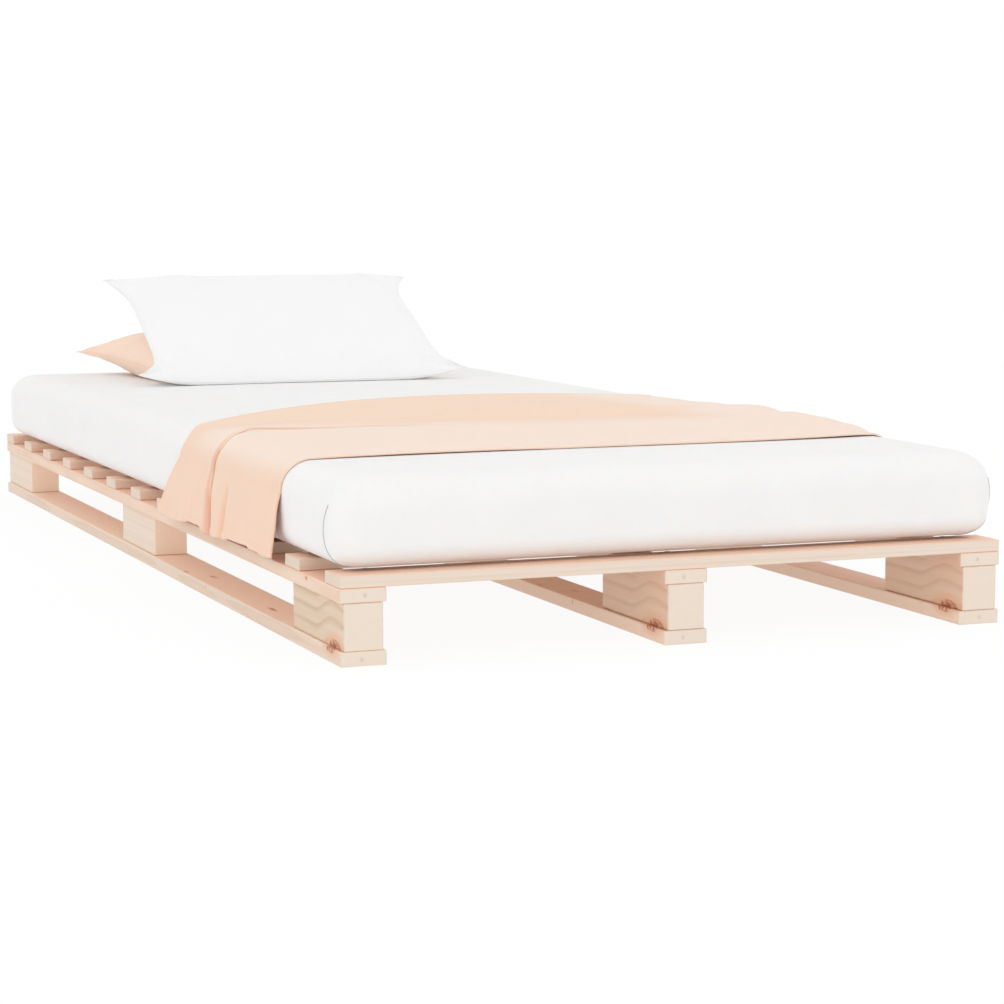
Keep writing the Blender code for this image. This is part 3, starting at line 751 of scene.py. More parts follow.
def mattress_shape():
    """Rings of points from the recess below, under and over the side, to the middle of the top."""
    profile = [(HALF_WIDTH, MATTRESS_BOTTOM + RECESS_HEIGHT)]
    profile += [(inset, MATTRESS_BOTTOM + rise) for inset, rise in UNDER_LINE]
    edge_bottom = MATTRESS_BOTTOM + EDGE_LIFT
    for angle in np.radians(np.linspace(-88, 0, 20)):
        profile.append((EDGE_INSET * (1 - math.cos(angle)), edge_bottom + EDGE_RISE * (1 + math.sin(angle))))
    profile += [(0.0, z) for z in np.linspace(edge_bottom + EDGE_RISE, SIDE_TOP, 18)[1:-1]]
    for angle in np.radians(np.linspace(0, 90, 18)):
        profile.append((TOP_RADIUS * (1 - math.cos(angle)), SIDE_TOP + TOP_RADIUS * math.sin(angle)))
    profile += [(inset, MATTRESS_TOP) for inset in np.linspace(TOP_RADIUS, HALF_WIDTH, 44)[1:]]
    return level_rings(profile, CORNER_RADIUS, CORNER_EASE_SHARE)


def mattress_surface(points):
    """The same pull and crown as the solid's, fuller at the foot corners, with soft rumples."""
    x, y, z = points[..., 0], points[..., 1], points[..., 2]
    share = (z - MATTRESS_BOTTOM) / MATTRESS_THICKNESS
    from_corner = HALF_LENGTH - np.abs(y)
    outside = eased(np.abs(x), FLAT_HALF, HALF_WIDTH)
    full = BULGE * bell(z, *BULGE_LEVEL) * bell(from_corner, *BULGE_PLACE) * outside * (y < 0)
    setback = HEAD_SETBACK * eased(y, HALF_LENGTH - HEAD_EASE, HALF_LENGTH)
    slow = np.sin(7.1 * x + 2.3) * np.sin(5.3 * y + 0.7) + np.sin(11.0 * x - 9.0 * y)
    new_x = x * (1 - PULL * arch(y, HALF_LENGTH) / HALF_WIDTH) + np.sign(x) * full
    new_y = y * (1 - PULL * arch(x, HALF_WIDTH) / HALF_LENGTH) - setback
    new_z = z + crown(x, y) * share**2 - RUMPLE * (1 + slow / 2) * eased(share, 0.8, 1.0)
    return np.stack([new_x, new_y, new_z], axis=-1)


def seam_lines():
    """The sheet's four corner seams, from the near left one's line."""
    lines = []
    for side in (-1, 1):
        for end in (-1, 1):
            shift = SEAM_SHIFT_RIGHT * (side > 0) + SEAM_SHIFT_HEAD * (end > 0)
            lines.append((np.abs(CORNER_SEAM) + (0.0, shift, 0.0)) * (side, end, 1.0))
    return lines


def make_mattress():
    rings = mattress_shape()
    count = rings.shape[1]
    turn = np.linspace(0, 2 * np.pi, count, endpoint=False)[None, :]
    inset = (HALF_WIDTH - np.abs(rings[..., 0])).min(axis=1)[:, None]
    low = rings[..., 2] < MATTRESS_BOTTOM + 0.02
    gathered = eased(inset, *GATHER[:2]) * eased(inset, *GATHER[2:]) * low
    pleats = PLEAT[0] * (1 + np.sin(PLEAT[1] * turn + 5 * np.sin(7 * turn))) / 2
    slow_pleats = SLOW_PLEAT[0] * (1 + np.sin(SLOW_PLEAT[1] * turn + 2 * np.sin(5 * turn)))
    rings[..., 2] += (pleats + slow_pleats) * gathered
    flat = mattress_surface(rings).reshape(-1, 3)
    for line in seam_lines():
        dent = bell(np.linalg.norm(flat - line[0], axis=1), 0.0, DIMPLE[1]) * DIMPLE[0]
        flat[:, 0] -= np.sign(flat[:, 0]) * dent
    faces = grid_faces(len(rings), count, wrap=True)
    piece = mesh_piece("fitted_sheet", flat, faces, SHEET_COTTON, merge=True)
    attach(piece, "mattress")
    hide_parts("mattress")
    return piece


LEAST_STEP = 0.0004
SEAM_POINTS = 90
SUNK_SHARE = 0.35
ELASTIC_INSET = 0.1290
ELASTIC_RADIUS = 0.0026
ELASTIC_RISE = 0.0046
ELASTIC_CORNER = 0.015
ELASTIC_WAVES = ((0.0010, 150, 0.0), (0.0006, 89, 1.0))
TICKING_RISES = (0.0006, 0.0018, 0.0060)
TICKING_EDGE = 0.1335
TICKING_RADIUS = 0.012


def lay_on(piece, path, sunk):
    """Moves the points of a path to the nearest places of a piece's surface, that deep in it."""
    mesh = piece.data
    tree = BVHTree.FromPolygons([v.co for v in mesh.vertices], [p.vertices for p in mesh.polygons])
    laid = []
    for point in path:
        place, normal, _, _ = tree.find_nearest(tuple(point))
        found = np.array(place) - np.array(normal) * sunk
        if not laid or np.linalg.norm(found - laid[-1]) > LEAST_STEP:
            laid.append(found)
    return np.array(laid)


def make_mattress_trim(sheet):
    """Corner seams, the elastic in the sheet's edge below, and the ticking that it leaves bare."""
    # Corner seams: real seams whose grey thread is painted shade for the dark line of their groove
    paths = [lay_on(sheet, finer(line, SEAM_POINTS), SEAM_RADIUS * SUNK_SHARE) for line in seam_lines()]
    seams = cords("sheet_corner_seams", paths, SEAM_RADIUS, 8, SEAM_SHADE_THREAD)
    ring = outline(HALF_WIDTH - ELASTIC_INSET, HALF_LENGTH - ELASTIC_INSET, ELASTIC_CORNER)
    turn = np.linspace(0, 2 * np.pi, len(ring), endpoint=False)
    wave = sum(height * np.sin(times * turn + start) for height, times, start in ELASTIC_WAVES)
    path = np.column_stack([ring, MATTRESS_BOTTOM + ELASTIC_RISE + wave])
    elastic = cords("sheet_elastic_edge", [path], ELASTIC_RADIUS, 10, SHEET_COTTON, closed=True)
    lowest, bend, highest = [MATTRESS_BOTTOM + rise for rise in TICKING_RISES]
    insets = (0.45, 0.40, 0.34, 0.28, 0.22, 0.17, 0.142, 0.136)
    shape = [(inset, lowest) for inset in insets] + [(TICKING_EDGE, bend), (TICKING_EDGE, highest)]
    shape += [(inset, highest) for inset in insets[-2:] + (0.20, 0.30, 0.45)]
    rings = level_rings(shape, TICKING_RADIUS)
    faces = grid_faces(len(rings), len(ring), wrap=True)
    ticking = mesh_piece("mattress_ticking", rings.reshape(-1, 3), faces, TICKING, merge=True)
    for piece in (seams, elastic, ticking):
        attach(piece, "mattress")


make_mattress_trim(make_mattress())

# Throw

HEM_MARGIN = 0.012
HEM_STITCH = (0.0015, 0.0009, 0.0007)
HEM_ROUND = 0.0016
FLUTE = (0.0011, 0.041)


def throw_section(distance):
    """Place, outward direction and share down the side, for distances across the throw."""
    side = np.sign(distance)
    beyond = np.maximum(np.abs(distance) - FLAT_HALF, 0.0)
    angle = np.minimum(beyond / TOP_RADIUS, math.pi / 2)
    down = np.maximum(beyond - TOP_RADIUS * math.pi / 2, 0.0)
    x = np.where(beyond > 0, side * (FLAT_HALF + TOP_RADIUS * np.sin(angle)), distance)
    z = MATTRESS_TOP - TOP_RADIUS * (1 - np.cos(angle)) - down
    return x, z, side * np.sin(angle), np.cos(angle), down / (SIDE_TOP - THROW_HEM)


def loft(along):
    stops, shares = np.transpose(LOFT_SHARES)
    place = np.clip(np.searchsorted(stops, along, side="right") - 1, 0, len(stops) - 2)
    part = np.clip((along - stops[place]) / (stops[place + 1] - stops[place]), 0, 1)
    return shares[place] + (shares[place + 1] - shares[place]) * (1 - np.cos(np.pi * part)) / 2


def fold_lines(turn, bend, straight, steps=12, straight_steps=4):
    """Places along the cloth through a sharp fold, for each column: onward and up."""
    bent = np.repeat((1.0, 0.0, 1.0), (steps, straight_steps, steps))[:, None]
    share = (np.arange(steps) + 0.5) / steps
    angle = np.concatenate([share, np.ones(straight_steps), share[::-1]])[:, None] * turn
    length = bent * bend / steps + (1 - bent) * straight / straight_steps
    ways = [np.insert(length * way, 0, 0.0, axis=0) for way in (np.cos(angle), np.sin(angle))]
    return np.cumsum(ways, axis=1)


def throw_grid():
    """The middle of the throw's cloth: rows from the near edge to the far one, columns left to right."""
    reach = FLAT_HALF + TOP_RADIUS * math.pi / 2 + SIDE_TOP - THROW_HEM
    half = np.concatenate([np.linspace(0, FLAT_HALF, 74), np.linspace(FLAT_HALF, reach, 50)[1:]])
    distance = np.concatenate([-half[:0:-1], half])
    x, z, out_x, out_z, down = throw_section(distance)
    away = np.abs(distance)
    left = distance < 0
    share_x = np.clip(x / HALF_WIDTH, -1, 1)

    # The sharp fold: how far it turns and how wide its bends are in each column
    shift, *shift_reach = FOLD_SIDE_SHIFT
    fold = throw_fold(share_x) - (shift * eased(away, *shift_reach) + FOLD_HEM_SHIFT * down) * left
    bend_share = eased(away, 0.36, 0.44)
    side_share = eased(down, 0.0, 0.75)

    def graded(sizes):
        """From the first size on the mattress's top to the second on its edge and the third at the hem."""
        value = sizes[0] + (sizes[1] - sizes[0]) * bend_share
        return value + (sizes[2] - value) * side_share

    turn = np.radians(graded(FOLD_TURNS_DEG)) * eased(away, *FOLD_FADE) * left
    onward, rise = fold_lines(turn, graded(FOLD_BENDS), graded(FOLD_STRAIGHTS))
    onward = onward - onward[-1]

    # The near and far edges, and the rows between them and the fold
    side_shift, *side_reach = NEAR_SIDE_SHIFT
    hem_shift, *hem_reach = NEAR_HEM_SHIFT
    near_shift = side_shift * eased(away, *side_reach) + hem_shift * eased(down, *hem_reach)
    near = THROW_NEAR + NEAR_TURN * np.maximum(share_x, 0.0) ** 4 - near_shift * left
    far = THROW_NEAR + THROW_WIDTH + THROW_SKEW * (share_x + 1) / 2 + THROW_BOW * (1 - share_x**2)
    slant = np.clip((away - FLAT_HALF - FAR_SLANT_REACH[0]) / FAR_SLANT_REACH[1], 0, 1) * FAR_SLANT
    far = far + np.where(left, slant, down * THROW_SLANT_RIGHT)
    near_shares = np.concatenate([np.linspace(0, 0.08, 10), np.linspace(0.08, 1, 92)[1:-1]])
    far_shares = np.concatenate([np.linspace(0, 0.2, 26)[1:], np.linspace(0.2, 0.97, 66)[1:], (0.985, 1.0)])
    near_rows = near + (fold + onward[0] - near) * near_shares[:, None]
    far_rows = fold + (far - fold) * far_shares[:, None]
    y = np.concatenate([near_rows, fold + onward, far_rows])
    step = rise[-1]
    near_share = graded(FOLD_NEAR_SHARES)
    near_sunk = -near_share * step * eased(near_rows, fold - graded(FOLD_NEAR_RAMPS), fold)
    far_raised = (1 - near_share) * step * eased(far_rows, fold + FOLD_FAR_RAMP, fold)
    fold_lift = np.concatenate([near_sunk, rise - near_share * step, far_raised])

    # How far the cloth lies off the mattress and hangs off its side
    crease = throw_crease(share_x)
    along = np.where(y < crease, (y - near) / (crease - near), 1 + (y - crease) / (far - crease))
    lofted = (PUFF_LEFT + (PUFF_RIGHT - PUFF_LEFT) * (share_x + 1) / 2) * loft(along)
    from_crease = y - crease
    folded = 1 - CREASE_DEPTH_SHARE * bell(from_crease, 0.004, FOLD_WIDTH) * ~left
    flutes = FLUTE[0] * np.sin((y - THROW_NEAR) * 2 * np.pi / FLUTE[1]) * eased(down, 0.35, 1.0)
    flutes = flutes * eased(from_crease, 0.01, 0.05)
    from_second = y - SECOND_FOLD_Y - SECOND_HEM_SHIFT * down**2
    second = SECOND_FOLD_DEPTH * bell(from_second, 0.0, SECOND_FOLD_WIDTH) * eased(down, 0.04, 0.40) * left
    lift = THROW_REST + lofted * (1 - down / 2) + THROW_FLARE * folded * down**FLARE_POWER + flutes
    lift = lift + fold_lift - second
    near_lift = np.interp(share_x, *zip(*NEAR_LIFTS)) * eased(y - THROW_NEAR, 0.06, 0.0)
    lift = np.maximum(lift + near_lift * (1 - down), THROW_REST) + CLOTH_THICKNESS / 2
    x = x * (1 - PULL * arch(y, HALF_LENGTH) * eased(down, 0.5, 0.0) / HALF_WIDTH)
    wave = np.interp(y, *zip(*HEM_WAVE)) - THROW_HEM
    z = z + np.where(left, wave, 0.0) * down**2 + crown(x, y) * out_z
    return np.stack([x + out_x * lift, y, z + out_z * lift], axis=-1)


def run_along(points, axis):
    """The steps between the points of a grid along an axis, and each point's way from the start."""
    steps = np.linalg.norm(np.diff(points, axis=axis), axis=2)
    return steps, np.cumsum(np.insert(steps, 0, 0.0, axis=axis), axis=axis)


def make_throw():
    middle = throw_grid()
    rows, columns = middle.shape[:2]
    row_run, from_near = run_along(middle, 0)
    column_run, from_left = run_along(middle, 1)
    edges = [from_near, from_near[-1] - from_near, from_left, from_left[:, -1:] - from_left]
    from_edge = np.min(edges, axis=0)
    hem = eased(from_edge, HEM_MARGIN, HEM_MARGIN - 0.002)
    stitched = HEM_STITCH[2] * bell(from_edge, HEM_MARGIN - HEM_STITCH[0], HEM_STITCH[1])
    thickness = CLOTH_THICKNESS + (HEM_THICKNESS - CLOTH_THICKNESS) * hem - stitched
    rounded = np.sqrt(np.clip(from_edge / HEM_ROUND, 0.25, 1))
    out = np.cross(np.gradient(middle, axis=1), np.gradient(middle, axis=0))
    out /= np.linalg.norm(out, axis=2)[..., None]
    inner = middle - out * CLOTH_THICKNESS / 2
    outer = middle + out * ((thickness - CLOTH_THICKNESS / 2) * rounded)[..., None]
    count = rows * columns
    points = np.concatenate([inner.reshape(-1, 3), outer.reshape(-1, 3)])
    faces = grid_faces(rows, columns) + grid_faces(rows, columns, count)
    border = rim(np.arange(count).reshape(rows, columns)).tolist()
    for here, after in zip(border, border[1:] + border[:1]):
        faces.append((here, after, count + after, count + here))
    piece = mesh_piece("throw_cloth", points, faces, THROW_COTTON)
    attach(piece, "throw")
    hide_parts("throw_blanket")


make_throw()

# Pillows: their sizes, as the solids have them

Place = namedtuple("Place", "x shift y length power width top_draw")
PILLOW_WIDTH = 0.600
PILLOW_LENGTH = 0.385
PILLOW_DRAW = 0.040
PILLOW_LONG_DRAW = 0.014
PILLOW_GAP = 0.002
FRONT_FROM_HEAD = 0.127
REAR_FROM_HEAD = 0.037
NEAR_DRAW_POWER = 8
FILL_POWER = 2.4
FRONT_TILT = math.radians(23.0)
FRONT_LENGTH = PILLOW_LENGTH * math.cos(FRONT_TILT)
FRONT_MIDDLE_Y = HALF_LENGTH - FRONT_FROM_HEAD - FRONT_LENGTH / 2
FRONT_PLACE = Place(-0.016, 0.014, FRONT_MIDDLE_Y, FRONT_LENGTH, 4, PILLOW_WIDTH, 0.006)
FRONT_TIP_RISE = 0.0245
FRONT_SAG = 0.0232
FRONT_CROWN = 0.039
FRONT_BELLY = 0.036
REAR_MIDDLE_Y = HALF_LENGTH - REAR_FROM_HEAD - PILLOW_LENGTH / 2
REAR_PLACE = Place(-0.010, -0.032, REAR_MIDDLE_Y, PILLOW_LENGTH, 6, 0.568, 0.0)
REAR_SEAM_RISE = 0.016
REAR_TIP_RISE = 0.040
REAR_CROWN = 0.052
REAR_BELLY = 0.050
REST_GAP = 0.0003
REAR_NEAR_TIP_RISE = 0.0075
TOP_EDGE_RISES = ((-0.62, 0.16, 0.0035), (0.72, 0.14, 0.0045))


def pillow_size(across, up, place):
    power = np.where(up < 0, NEAR_DRAW_POWER, place.power)
    draw = PILLOW_DRAW * (1 - np.abs(up) ** power) + place.top_draw * ((1 + up) / 2) ** 3
    return place.width / 2 - draw, place.length / 2 - PILLOW_LONG_DRAW * (1 - across**6)


def pillow_place(across, up, place):
    half_width, half_length = pillow_size(across, up, place)
    return place.x + place.shift * (1 + up) / 2 + across * half_width, place.y + up * half_length


def pillow_shares(x, y, place):
    """The shares for a place, found by a few rounds of the same rule."""
    across, up = 0 * x, 0 * y
    for _ in range(8):
        half_width, half_length = pillow_size(across, up, place)
        across = np.clip((x - place.x - place.shift * (1 + up) / 2) / half_width, -1, 1)
        up = np.clip((y - place.y) / half_length, -1, 1)
    return across, up


def fill(across, up):
    """How full a pillow is there: 1 in the middle and 0 at its seam."""
    return np.sqrt(np.maximum((1 - across**4) * (1 - np.abs(up) ** FILL_POWER), 0.0))


def rest_height(x, y):
    return MATTRESS_TOP + crown(x, y) + REST_GAP


def front_heights(x, y):
    """Lower, seam and upper height of the leaning pillow."""
    across, up = pillow_shares(x, y, FRONT_PLACE)
    rise = (y - FRONT_MIDDLE_Y + FRONT_LENGTH / 2) * math.tan(FRONT_TILT)
    sag = FRONT_SAG * (1 - across**6) * ((1 - up) / 2) ** 2
    seam = MATTRESS_TOP + FRONT_TIP_RISE + rise - sag
    for middle, width, height in TOP_EDGE_RISES:
        seam = seam + height * bell(across, middle, width) * eased(up, 0.2, 1.0)
    full = fill(across, up) / math.cos(FRONT_TILT)
    ramp = np.clip(1 + (y - REAR_MIDDLE_Y + PILLOW_LENGTH / 2) / REAR_SEAM_RISE, 0, 1)
    floor = rest_height(x, y) + REAR_SEAM_RISE * ramp
    lower = np.maximum(seam - FRONT_BELLY * full, floor)
    return lower, np.maximum(seam, lower), seam + FRONT_CROWN * full


def rear_heights(x, y):
    """The flat pillow, pressed down wherever the leaning one lies on it."""
    across, up = pillow_shares(x, y, REAR_PLACE)
    seam = MATTRESS_TOP + REAR_SEAM_RISE + (REAR_TIP_RISE - REAR_SEAM_RISE) * (1 + up) / 2
    seam = seam + REAR_NEAR_TIP_RISE * (1 - up) / 2 * across**6
    under = y <= FRONT_MIDDLE_Y + FRONT_LENGTH / 2
    limit = np.where(under, front_heights(x, y)[0] - PILLOW_GAP, np.inf)
    seam = np.minimum(seam, limit)
    full = fill(across, up)
    lower = np.maximum(seam - REAR_BELLY * full, rest_height(x, y))
    return lower, seam, np.minimum(seam + REAR_CROWN * full, limit)


ACROSS_STEPS = 110
UP_STEPS = 76
PLUMP_FRAMES = 20
PLUMP_CAP = 0.006
CLOTH_SETTINGS = {"quality": 6, "mass": 0.3, "shrink_min": -0.012, "vertex_group_mass": "held"}
CLOTH_SETTINGS |= {"tension_stiffness": 10.0, "compression_stiffness": 10.0, "shear_stiffness": 3.0}
CLOTH_SETTINGS |= {"bending_stiffness": 0.3, "use_pressure": True, "uniform_pressure_force": 4.0}
HELD_HEIGHT = 0.004
SEAM_GIVE = 0.15
SEAM_GIVE_REACH = 0.06
SEAM_CORD = 0.0010
PUCKER = (0.0008, 0.016)
TIP_CREASE = (0.0016, 0.060)
PUCKER_WAVES = ((0.021, 0.13, 0.037, 1.0), (0.019, 0.11, 0.033, 2.0))


def plump(piece, held):
    """Swells a piece with the Cloth simulation and gives how far each point moved; held points stay."""
    group = piece.vertex_groups.new(name="held")
    group.add([int(index) for index in np.flatnonzero(held)], 1.0, "REPLACE")
    cloth = piece.modifiers.new("cloth", "CLOTH")
    for setting, value in CLOTH_SETTINGS.items():
        setattr(cloth.settings, setting, value)
    cloth.settings.effector_weights.gravity = 0.0
    for number in range(1, PLUMP_FRAMES + 1):
        bpy.context.scene.frame_set(number)
    swollen = piece.evaluated_get(bpy.context.evaluated_depsgraph_get()).to_mesh()
    start, end = [np.array([vertex.co for vertex in mesh.vertices]) for mesh in (piece.data, swollen)]
    piece.modifiers.remove(cloth)
    piece.vertex_groups.clear()
    bpy.context.scene.frame_set(1)
    moved = end - start
    far = np.linalg.norm(moved, axis=1)[:, None]
    return moved * np.minimum(1.0, PLUMP_CAP / np.maximum(far, 1e-9))


def pucker_wave(along, sizes):
    """Uneven waves along a seam, from about -1.6 to 1.6."""
    first, swing, second, start = sizes
    run = along * 2 * np.pi
    return np.sin(run / first + 2 * np.sin(run / swing)) + 0.6 * np.sin(run / second + start)


def pillow_relief(points, in_x, in_y):
    """Puckers beside the seams, and creases that run in from the tips."""
    wave_x, wave_y = [pucker_wave(points[:, axis], PUCKER_WAVES[axis]) for axis in (0, 1)]
    puckers = PUCKER[0] * (wave_x * np.exp(-in_y / PUCKER[1]) + wave_y * np.exp(-in_x / PUCKER[1]))
    angle = np.arctan2(in_y, in_x + 1e-6)
    creases = TIP_CREASE[0] * np.cos(9 * angle + 0.6) * bell(np.hypot(in_x, in_y), 0.035, TIP_CREASE[1])
    return (puckers + creases) * np.clip(np.minimum(in_x, in_y) / 0.003, 0, 1)


def pressed(points, under, heights, place, face):
    """Which points lie against the other pillow: on its upper face, 2, or under its lower one, 0."""
    x, y, z = points.T
    inside = np.abs(pillow_shares(x, y, place)).max(axis=0) < 0.999
    clear = (face - 1) * (z - heights(x, y)[face])
    return inside & (under == (face > 1)) & (clear < HELD_HEIGHT)


def set_points(piece, points):
    piece.data.vertices.foreach_set("co", points.reshape(-1))
    piece.data.update()


def make_pillow(name, body, heights, place, finish, other):
    """A stuffed pillow: two grids of points that share the seam, swollen, puckered and corded."""
    i, j = np.meshgrid(np.arange(ACROSS_STEPS + 1), np.arange(UP_STEPS + 1), indexing="ij")
    across = np.sin(np.pi / 2 * (2 * i / ACROSS_STEPS - 1))
    up = np.sin(np.pi / 2 * (2 * j / UP_STEPS - 1))
    x, y = pillow_place(across, up, place)
    lower, seam, upper = heights(x, y)
    edge = (i == 0) | (i == ACROSS_STEPS) | (j == 0) | (j == UP_STEPS)
    above = np.stack([x, y, np.where(edge, seam, upper)], axis=-1).reshape(-1, 3)
    below = np.stack([x, y, lower], axis=-1).reshape(-1, 3)
    inside = np.flatnonzero(~edge.reshape(-1))
    number = np.arange(len(below))
    number[inside] = len(above) + np.arange(len(inside))
    points = np.concatenate([above, below[inside]])
    top = grid_faces(*i.shape)
    piece = mesh_piece(name, points, top + number[top].tolist(), finish)

    # Points that rest on the mattress or that the other pillow presses keep their height
    under = np.arange(len(points)) >= len(above)
    clear = points[:, 2] - rest_height(*points[:, :2].T)
    held = under & (clear < HELD_HEIGHT) | pressed(points, under, *other)
    share = np.stack([across, up], axis=-1).reshape(-1, 2)
    share = np.concatenate([share, share[inside]])
    in_x, in_y = (1 - np.abs(share.T)) * [[PILLOW_WIDTH / 2], [place.length / 2]]

    def moved_by(steps):
        """The points after a step of each; those on the underside only rise and held ones stay."""
        steps[:, 2] = np.where(under, np.maximum(steps[:, 2], 0.0), steps[:, 2])
        return points + np.where(held[:, None], 0.0, steps)

    free = np.where(under, eased(clear, HELD_HEIGHT, 4 * HELD_HEIGHT), 1.0)
    give = SEAM_GIVE + (1 - SEAM_GIVE) * eased(np.minimum(in_x, in_y), 0.0, SEAM_GIVE_REACH)
    points = moved_by(plump(piece, held) * (free * give)[:, None])
    set_points(piece, points)
    normals = np.array([vertex.normal for vertex in piece.data.vertices])
    points = moved_by(normals * pillow_relief(points, in_x, in_y)[:, None])
    set_points(piece, points)
    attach(piece, body)
    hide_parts(body)

    loop = rim(np.arange(len(above)).reshape(i.shape).T)
    cord = cords(name + "_seam", [points[loop]], SEAM_CORD, 8, finish, closed=True)
    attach(cord, body)


FRONT_SHAPE = (front_heights, FRONT_PLACE)
REAR_SHAPE = (rear_heights, REAR_PLACE)
make_pillow("white_pillow", "pillow_front", *FRONT_SHAPE, PILLOW_COTTON, (*REAR_SHAPE, 2))
make_pillow("peach_pillow", "pillow_back", *REAR_SHAPE, PEACH_COTTON, (*FRONT_SHAPE, 0))

# Screws


def zinc():
    finish = Finish("zinc_plated_steel")
    mottle = finish.noise(finish.place(), 0.0015, 3.0)
    colour = finish.blend(finish.rising(mottle, -0.6, 0.8), shade(196, 197, 198), shade(166, 166, 162))
    return finish.surface(colour, 0.32 + mottle * 0.08, mottle, 0.00005, metallic=1.0)


ZINC = zinc()
SCREW_RADIUS = 0.0057
SHANK_RADIUS = 0.0029
SCREW_FACE = 0.0006
SCREW_NECK = 0.0031
SCREW_END = RUNNER_LOW.z + 0.011
SCREW_SPACING = 0.100
SCREW_SIDES = 24
# How far a cross recess reaches, half its width and its depth
BASE_CROSS = (0.0031, 0.0008, 0.0018)
CROSS_FLOOR_SHARES = (0.8, 0.7)
SLAT_SCREW_FACE = 0.00023
# Radius of each ring of a slat screw and how far below its face it lies
SLAT_SCREW_RINGS = (
    (0.0037, 0.0), (0.0040, 0.0002), (0.0020, 0.0030), (0.0020, 0.0250), (0.0006, 0.0290),
)
SLAT_SCREW_OFFSET = 0.013
SLAT_SCREW_X = RUNNER_X - 0.022
SLAT_CROSS = (0.0023, 0.0005, 0.0002)


def cross_loop(reach, half, z):
    """Twelve points round an upright cross."""
    corners = (complex(reach, -half), complex(reach, half), complex(half, half))
    spots = [corner * 1j**turn for turn in range(4) for corner in corners]
    return [(spot.real, spot.imag, z) for spot in spots]


def screw(profile, reach, half, depth):
    """Points and faces of a screw with a cross recess: the first ring of its profile is the head's face."""
    bm = bmesh.new()
    turns = [2 * math.pi * side / SCREW_SIDES for side in range(SCREW_SIDES)]
    rings = []
    for radius, z in profile:
        rings.append([bm.verts.new((radius * math.cos(turn), radius * math.sin(turn), z)) for turn in turns])
    face_z = profile[0][1]
    floor_z = face_z + math.copysign(depth, profile[-1][1] - face_z)
    reach_share, half_share = CROSS_FLOOR_SHARES
    mouth = [bm.verts.new(point) for point in cross_loop(reach, half, face_z)]
    floor = [bm.verts.new(point) for point in cross_loop(reach * reach_share, half * half_share, floor_z)]
    edges = [bm.edges.new(pair) for loop in (rings[0], mouth) for pair in zip(loop, loop[1:] + loop[:1])]
    bmesh.ops.triangle_fill(bm, edges=edges, use_beauty=True)
    for first, second in [(mouth, floor)] + list(zip(rings, rings[1:])):
        for corners in zip(first, first[1:] + first[:1], second[1:] + second[:1], second):
            bm.faces.new(corners)
    for corners in ((2, 5, 8, 11), (11, 0, 1, 2), (2, 3, 4, 5), (5, 6, 7, 8), (8, 9, 10, 11)):
        bm.faces.new([floor[corner] for corner in corners])
    bm.faces.new(rings[-1])
    bm.verts.index_update()
    points = np.array([vert.co for vert in bm.verts])
    faces = [tuple(vert.index for vert in face.verts) for face in bm.faces]
    bm.free()
    return points, faces


def set_screws(name, profile, cross, places):
    """One piece of equal screws at many places."""
    points, faces = screw(profile, *cross)
    everything = np.concatenate([points + place for place in places])
    firsts = range(0, len(everything), len(points))
    joined = [tuple(first + corner for corner in face) for first in firsts for face in faces]
    piece = mesh_piece(name, everything, joined, ZINC, smooth=False)
    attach(piece, "frame")
    return piece


def make_screws():
    tip = SCREW_END - 0.0003
    profile = (
        (SCREW_RADIUS - 0.0002, SCREW_FACE),
        (SCREW_RADIUS, SCREW_FACE + 0.0002),
        (SHANK_RADIUS, SCREW_NECK + 0.0003),
        (SHANK_RADIUS, tip - 2 * SHANK_RADIUS),
        (SHANK_RADIUS * 0.3, tip),
    )
    places = []
    for x in (-RUNNER_X, 0.0, RUNNER_X):
        for row in (-BLOCK_Y, 0.0, BLOCK_Y):
            places += [(x, row - SCREW_SPACING / 2, 0.0), (x, row + SCREW_SPACING / 2, 0.0)]
    base = set_screws("base_screws", profile, BASE_CROSS, places)
    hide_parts(*[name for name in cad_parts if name.startswith("screw_")])

    profile = [(radius, SLAT_TOP + SLAT_SCREW_FACE - deep) for radius, deep in SLAT_SCREW_RINGS]
    places = []
    for x in (-SLAT_SCREW_X, 0.0, SLAT_SCREW_X):
        for count in range(SLAT_COUNT):
            y = -SLAT_Y + count * SLAT_PITCH
            inward = -math.copysign(SLAT_SCREW_OFFSET, y)
            at_end = count in (0, SLAT_COUNT - 1)
            places += [(x, y + way * inward, 0.0) for way in ((2,) if at_end else (-1, 1))]
    set_screws("slat_screws", profile, SLAT_CROSS, places)


make_screws()

# Stage: floor, world, lamps and camera

FLOOR_SIZE = 30.0
GLOW_SHARE = 0.92
UNSEEN_GLOW_SHARE = 0.60
GLOW_REACH = (1.6, 5.0)
WHITE_LIGHT = (1.0, 1.0, 1.0, 1.0)


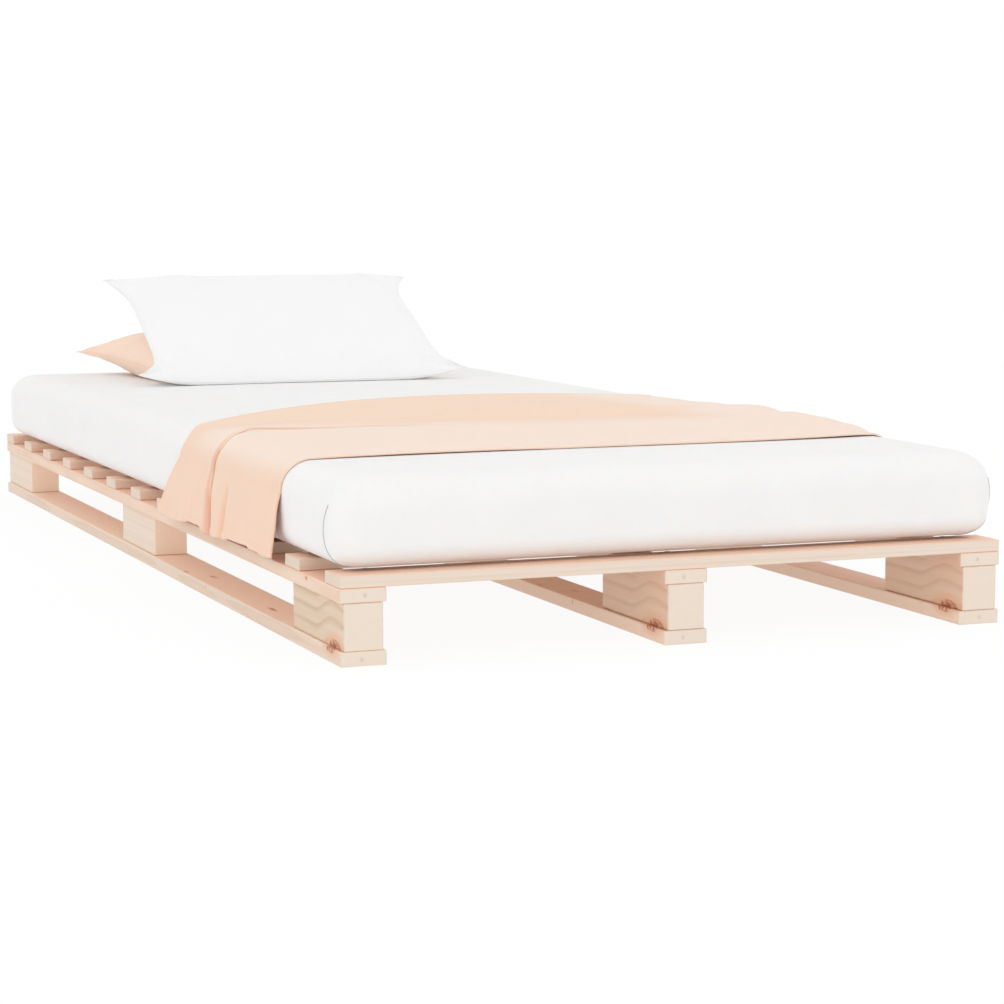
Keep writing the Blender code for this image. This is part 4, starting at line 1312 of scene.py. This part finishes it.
def floor_finish():
    """A pale floor that the camera and mirrors see as white, with the bed's soft shadow left on it."""
    finish = Finish("studio_floor")
    rays = finish.node("ShaderNodeLightPath").socket.node
    seen = Reading(finish, rays.outputs["Is Camera Ray"])
    for output in ("Is Glossy Ray", "Is Transmission Ray"):
        seen = maths("MAXIMUM", seen, Reading(finish, rays.outputs[output]))
    away = span(*finish.place_parts()[:2])
    share = finish.rising(away, *GLOW_REACH) * (1 - GLOW_SHARE) + GLOW_SHARE
    share = maths("MAXIMUM", seen * share, UNSEEN_GLOW_SHARE)
    matt = finish.node("ShaderNodeBsdfDiffuse", feeds={"Color": shade(250, 250, 250)})
    glow = finish.node("ShaderNodeEmission", feeds={"Color": WHITE_LIGHT, "Strength": 1.0})
    return finish.shown(finish.node("ShaderNodeMixShader", feeds={0: share, 1: matt, 2: glow}))


def make_stage():
    corners = [(x * FLOOR_SIZE, y * FLOOR_SIZE, 0.0) for x, y in ((-1, -1), (1, -1), (1, 1), (-1, 1))]
    mesh = bpy.data.meshes.new("floor")
    mesh.from_pydata(corners, [], [(0, 1, 2, 3)])
    mesh.materials.append(floor_finish())
    linked("floor", mesh)

    world = bpy.data.worlds.new("studio")
    bpy.context.scene.world = world
    world.use_nodes = True
    sky = world.node_tree.nodes["Background"]
    sky.inputs["Color"].default_value = WHITE_LIGHT
    sky.inputs["Strength"].default_value = 1.0


def make_lamp(name, place, aim, size, power):
    lamp = bpy.data.lights.new(name, "AREA")
    lamp.shape = "SQUARE"
    lamp.size = size
    lamp.energy = power
    holder = linked(name, lamp)
    holder.location = place
    x, y, z = np.subtract(place, aim) / np.linalg.norm(np.subtract(place, aim))
    holder.rotation_euler = (math.acos(z), 0.0, math.atan2(y, x) + math.pi / 2)


make_stage()
make_lamp("key_lamp", (1.2, -3.6, 3.4), (0.0, 0.0, 0.2), 2.4, 12.0)
make_lamp("fill_lamp", (-3.4, -3.0, 0.6), (0.0, -0.2, 0.1), 2.0, 12.0)

lens = bpy.data.cameras.new("camera")
lens.lens = 94.11
lens.sensor_width = 36.0
lens.sensor_fit = "HORIZONTAL"
camera = linked("camera", lens)
camera.location = (-1.3985, -3.9024, 0.5533)
camera.rotation_euler = (math.pi / 2 - 0.1164, 0.0, -0.3782)
bpy.context.scene.camera = camera

bpy.context.scene.view_settings.view_transform = "Standard"
